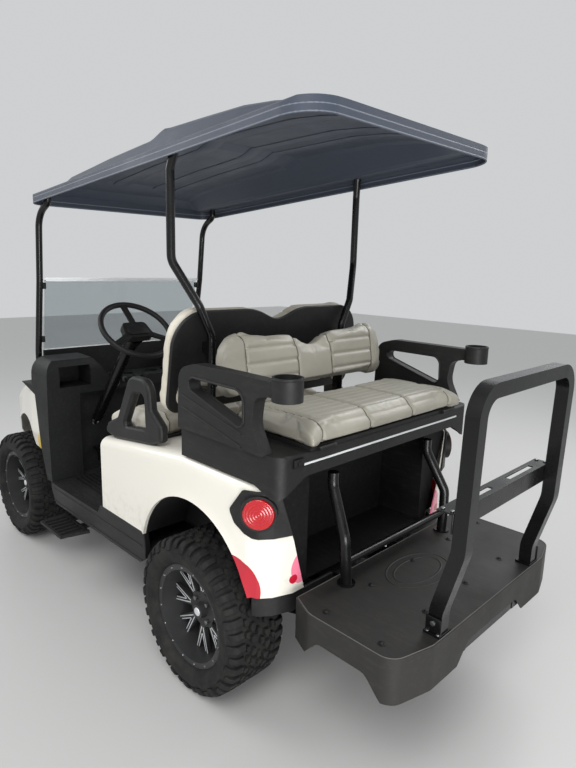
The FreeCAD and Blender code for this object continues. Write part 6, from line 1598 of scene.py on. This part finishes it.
@dataclass
class CabTrim:
    """Switches, gauge, mats and beads in the driver's space, and the wheel's pad."""

    cart: Cart
    wheel: Vector = field(default_factory=lambda: Vector((ahead(0.840), 0.300, 1.240)))
    column_tilt: float = 50.0
    pad_half_width: float = 0.058
    pad_half_height: float = 0.033
    pad_round: float = 0.016
    pad_rise: float = 0.006
    pad_face: float = 0.004
    spoke_angles: tuple[float, ...] = (90, 210, 330)
    strip_start: float = 0.080
    strip_length: float = 0.070
    strip_inner_half: float = 0.009
    strip_outer_half: float = 0.007
    mat_rear: float = 0.165
    mat_length: float = 0.46
    mat_inner: float = 0.075
    rib_pitch: float = 0.0235
    rib_count: int = 17
    rib_steps: int = 12
    rib_radius: float = 0.0062
    rib_flatness: float = 0.45
    rib_lift: float = 0.0008
    key_ring: Fastener = Fastener(0.014, 0.004, 24, bevel=0.001)
    gauge_face: Fastener = Fastener(0.021, 0.003, 32, bevel=0.0005)
    # Half section of the gauge's ring: along the way it looks, and radius
    gauge_ring: Profile = ((-0.001, 0.024), (0.005, 0.024), (0.005, 0.021), (-0.001, 0.021))
    sill_side: float = 0.5803
    sill_ends: tuple[float, float] = (-0.225, 0.615)
    sill_heights: tuple[float, ...] = (0.352, 0.417)
    # Place to the left, height and kind of each control on the dash
    controls: tuple[tuple[float, float, Control], ...] = (
        (0.150, 0.925, Control.KEY), (0.085, 0.925, Control.ROCKER), (0.030, 0.925, Control.ROCKER),
        (0.205, 0.915, Control.GAUGE),
    )

    def build(self) -> None:
        """Make the cab's small parts."""
        self.build_mats()
        self.build_dash()
        self.build_wheel_pad()
        self.build_sill_beads()

    def build_mats(self) -> None:
        """Ribbed mats on the floor, one each side of the middle."""
        tree = self.cart.surface("floor_pan")
        draft = Draft()
        for sign in (1, -1):
            for number in range(self.rib_count):
                y = sign * (self.mat_inner + self.rib_pitch * number)
                path = []
                for step in range(self.rib_steps + 1):
                    above = Vector((self.mat_rear + self.mat_length * step / self.rib_steps, y, 0.9))
                    path.append(tree.ray_cast(above, -UP)[0] + UP * self.rib_lift)
                draft.rope(path, self.rib_radius, 6, flat=self.rib_flatness)
        draft.finish("floor_mat_ribs", GRIP, self.cart.bodies["floor_pan"], 50.0)

    def build_dash(self) -> None:
        """Key switch, direction switch, charge gauge and lamp switch on the dash."""
        tree = self.cart.surface("inner_cowl")
        knobs = Draft()
        bright = Draft()
        for y, height, kind in self.controls:
            spot = tree.ray_cast(Vector((0.30, y, height)), FORWARD)[0]
            if kind is Control.KEY:
                bright.fasten(self.key_ring, spot, -FORWARD)
                blade = Vector((0.030, 0.003, 0.012))
                knobs.block(spot - blade, spot + blade - FORWARD * 0.033, 0.0015)
            elif kind is Control.ROCKER:
                knob = Vector((0.010, 0.013, 0.020))
                knobs.block(spot - knob, spot + knob - FORWARD * 0.009, 0.003)
            else:
                bright.lathe(self.gauge_ring, spot, -FORWARD, 40, closed=True)
                knobs.fasten(self.gauge_face, spot, -FORWARD)
        body = self.cart.bodies["inner_cowl"]
        knobs.finish("dash_switches", GRIP, body)
        bright.finish("dash_bezels", BOLT, body)

    def build_wheel_pad(self) -> None:
        """A raised cap on the steering wheel's pad and a raised strip on each spoke."""
        tilt = math.radians(self.column_tilt)
        away = Vector((-math.cos(tilt), 0, math.sin(tilt)))
        rise = LEFTWARD.cross(away).normalized()
        if rise.z < 0:
            rise = -rise
        middle = self.wheel + away * self.pad_face
        wide, high = LEFTWARD * self.pad_half_width, rise * self.pad_half_height
        corners = [(middle + wide * across + high * up, self.pad_round)
                   for across, up in ((-1, -1), (1, -1), (0.82, 1), (-0.82, 1))]
        draft = Draft()
        draft.prism(rounded_loop(corners, 5), away * self.pad_rise, 0.002, 2)
        for angle in self.spoke_angles:
            turn = math.radians(angle)
            way = LEFTWARD * math.cos(turn) + rise * math.sin(turn)
            across = away.cross(way).normalized()
            start = middle + way * self.strip_start
            end = start + way * self.strip_length
            outline = [start - across * self.strip_inner_half, start + across * self.strip_inner_half,
                       end + across * self.strip_outer_half, end - across * self.strip_outer_half]
            draft.prism(outline, away * self.pad_rise / 2, 0.001)
        draft.finish("steering_wheel_cap", GRIP, self.cart.bodies["steering_wheel"])

    def build_sill_beads(self) -> None:
        """Lengthwise beads along the sills."""
        draft = Draft()
        for side in Side:
            y = self.sill_side * side.value
            for height in self.sill_heights:
                draft.rope([(x, y, height) for x in self.sill_ends], 0.0028, 6, over=LEFTWARD)
        draft.finish("sill_beads", CHARCOAL, self.cart.bodies["rocker_panels"], 50.0)


@dataclass
class Stage:
    """Floor, backdrop, lamps and the camera."""

    camera_place: tuple[float, float, float] = (-2.18535, 1.72971, 1.55498)
    yaw: float = -0.788081
    pitch: float = -0.201034
    roll: float = 0.0257594
    focal_pixels: float = 582.872
    frame_height_pixels: float = 768.0
    sensor_height: float = 24.0
    floor_half: float = 14.0
    floor_grey: str = "c4c4c2"
    world_colour: str = "eef0f2"
    world_strength: float = 0.72
    # Name, place, aim, side and power of each lamp
    lamps: tuple[tuple[str, Point, Point, float, float], ...] = (
        ("key", (-2.6, 3.2, 4.4), (0.0, 0.2, 0.8), 2.6, 120.0),
        ("fill", (3.2, 2.6, 3.6), (0.2, 0.0, 0.8), 2.6, 70.0),
        ("rim", (-1.0, -3.4, 3.8), (0.0, 0.0, 0.9), 2.4, 80.0),
        ("under", (-3.4, 1.6, 0.5), (-0.2, 0.1, 2.0), 1.6, 75.0),
    )

    def build(self) -> None:
        """Make everything that isn't the cart."""
        self.add_floor()
        self.add_lamps()
        self.add_camera()

    def add_floor(self) -> None:
        """A plain pale floor that keeps the cart's shadow."""
        bm = bmesh.new()
        bmesh.ops.create_grid(bm, x_segments=1, y_segments=1, size=self.floor_half)
        mesh = bpy.data.meshes.new("floor")
        bm.to_mesh(mesh)
        bm.free()
        floor = bpy.data.objects.new("floor", mesh)
        bpy.context.scene.collection.objects.link(floor)
        shader = Shader("floor_grey")
        shader.set(Base_Color=linear(self.floor_grey), Roughness=0.45)
        mesh.materials.append(shader.material)

    def add_lamps(self) -> None:
        """A plain pale world and soft lamps."""
        world = bpy.data.worlds.new("pale_room")
        world.use_nodes = True
        bpy.context.scene.world = world
        background = world.node_tree.nodes["Background"]
        background.inputs["Color"].default_value = linear(self.world_colour)
        background.inputs["Strength"].default_value = self.world_strength
        for name, place, aim, size, power in self.lamps:
            lamp = bpy.data.lights.new(name, "AREA")
            lamp.shape = "SQUARE"
            lamp.size = size
            lamp.energy = power
            item = bpy.data.objects.new(name, lamp)
            item.location = place
            item.rotation_euler = (Vector(aim) - Vector(place)).to_track_quat("-Z", "Y").to_euler()
            bpy.context.scene.collection.objects.link(item)

    def add_camera(self) -> None:
        """The camera at the photograph's viewing angle."""
        level = math.cos(self.pitch)
        forward = Vector((level * math.cos(self.yaw), level * math.sin(self.yaw), math.sin(self.pitch)))
        right = forward.cross(UP).normalized()
        above = right.cross(forward)
        turned_right = right * math.cos(self.roll) + above * math.sin(self.roll)
        turned_above = above * math.cos(self.roll) - right * math.sin(self.roll)
        data = bpy.data.cameras.new("camera")
        data.sensor_fit = "VERTICAL"
        data.sensor_height = self.sensor_height
        data.lens = self.focal_pixels / self.frame_height_pixels * self.sensor_height
        data.clip_start = 0.05
        camera = bpy.data.objects.new("camera", data)
        turn = Matrix((turned_right, turned_above, -forward)).transposed()
        camera.matrix_world = Matrix.Translation(self.camera_place) @ turn.to_4x4()
        bpy.context.scene.collection.objects.link(camera)
        bpy.context.scene.camera = camera
        bpy.context.scene.view_settings.view_transform = "Standard"


# Nodes shown as merged copies with eased edges, and how wide the easing is
EASED_NODES = {
    "rear_seat_tray": 0.003, "armrest_left": 0.003, "armrest_right": 0.003, "grab_bar_ledge": 0.0012,
    "foot_deck": 0.003, "rocker_panels": 0.003, "rear_valance": 0.003, "hip_restraint_left": 0.011,
    "hip_restraint_right": 0.011, "front_seat_shell": 0.004, "tail_light_bezels": 0.006,
}
# Nodes shown as merged copies that are smoothed alone, up to this many degrees
SMOOTHED_NODES = ("rear_body", "front_cowl", "inner_cowl")
SMOOTHED_BELOW = 28.0


def main() -> None:
    """Dress the whole cart and report what was made."""
    logging.basicConfig(level=logging.INFO, format="%(message)s")
    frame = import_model()
    cart = Cart(frame)
    Stage().build()
    for corner in Corner:
        Wheel(cart, corner).build()
    for part in (Seats, RoofTrim, GlassTrim, BenchTrim, DeckTrim, TailLamps, CabTrim):
        part(cart).build()
    for node, bevel in EASED_NODES.items():
        cart.soften_node(node, bevel)
    for node in SMOOTHED_NODES:
        cart.soften_node(node, 0.0, SMOOTHED_BELOW)
    for node in frame["nodes"]:
        if node not in cart.replaced:
            cart.dress_node(node)


if __name__ == "__main__":
    main()
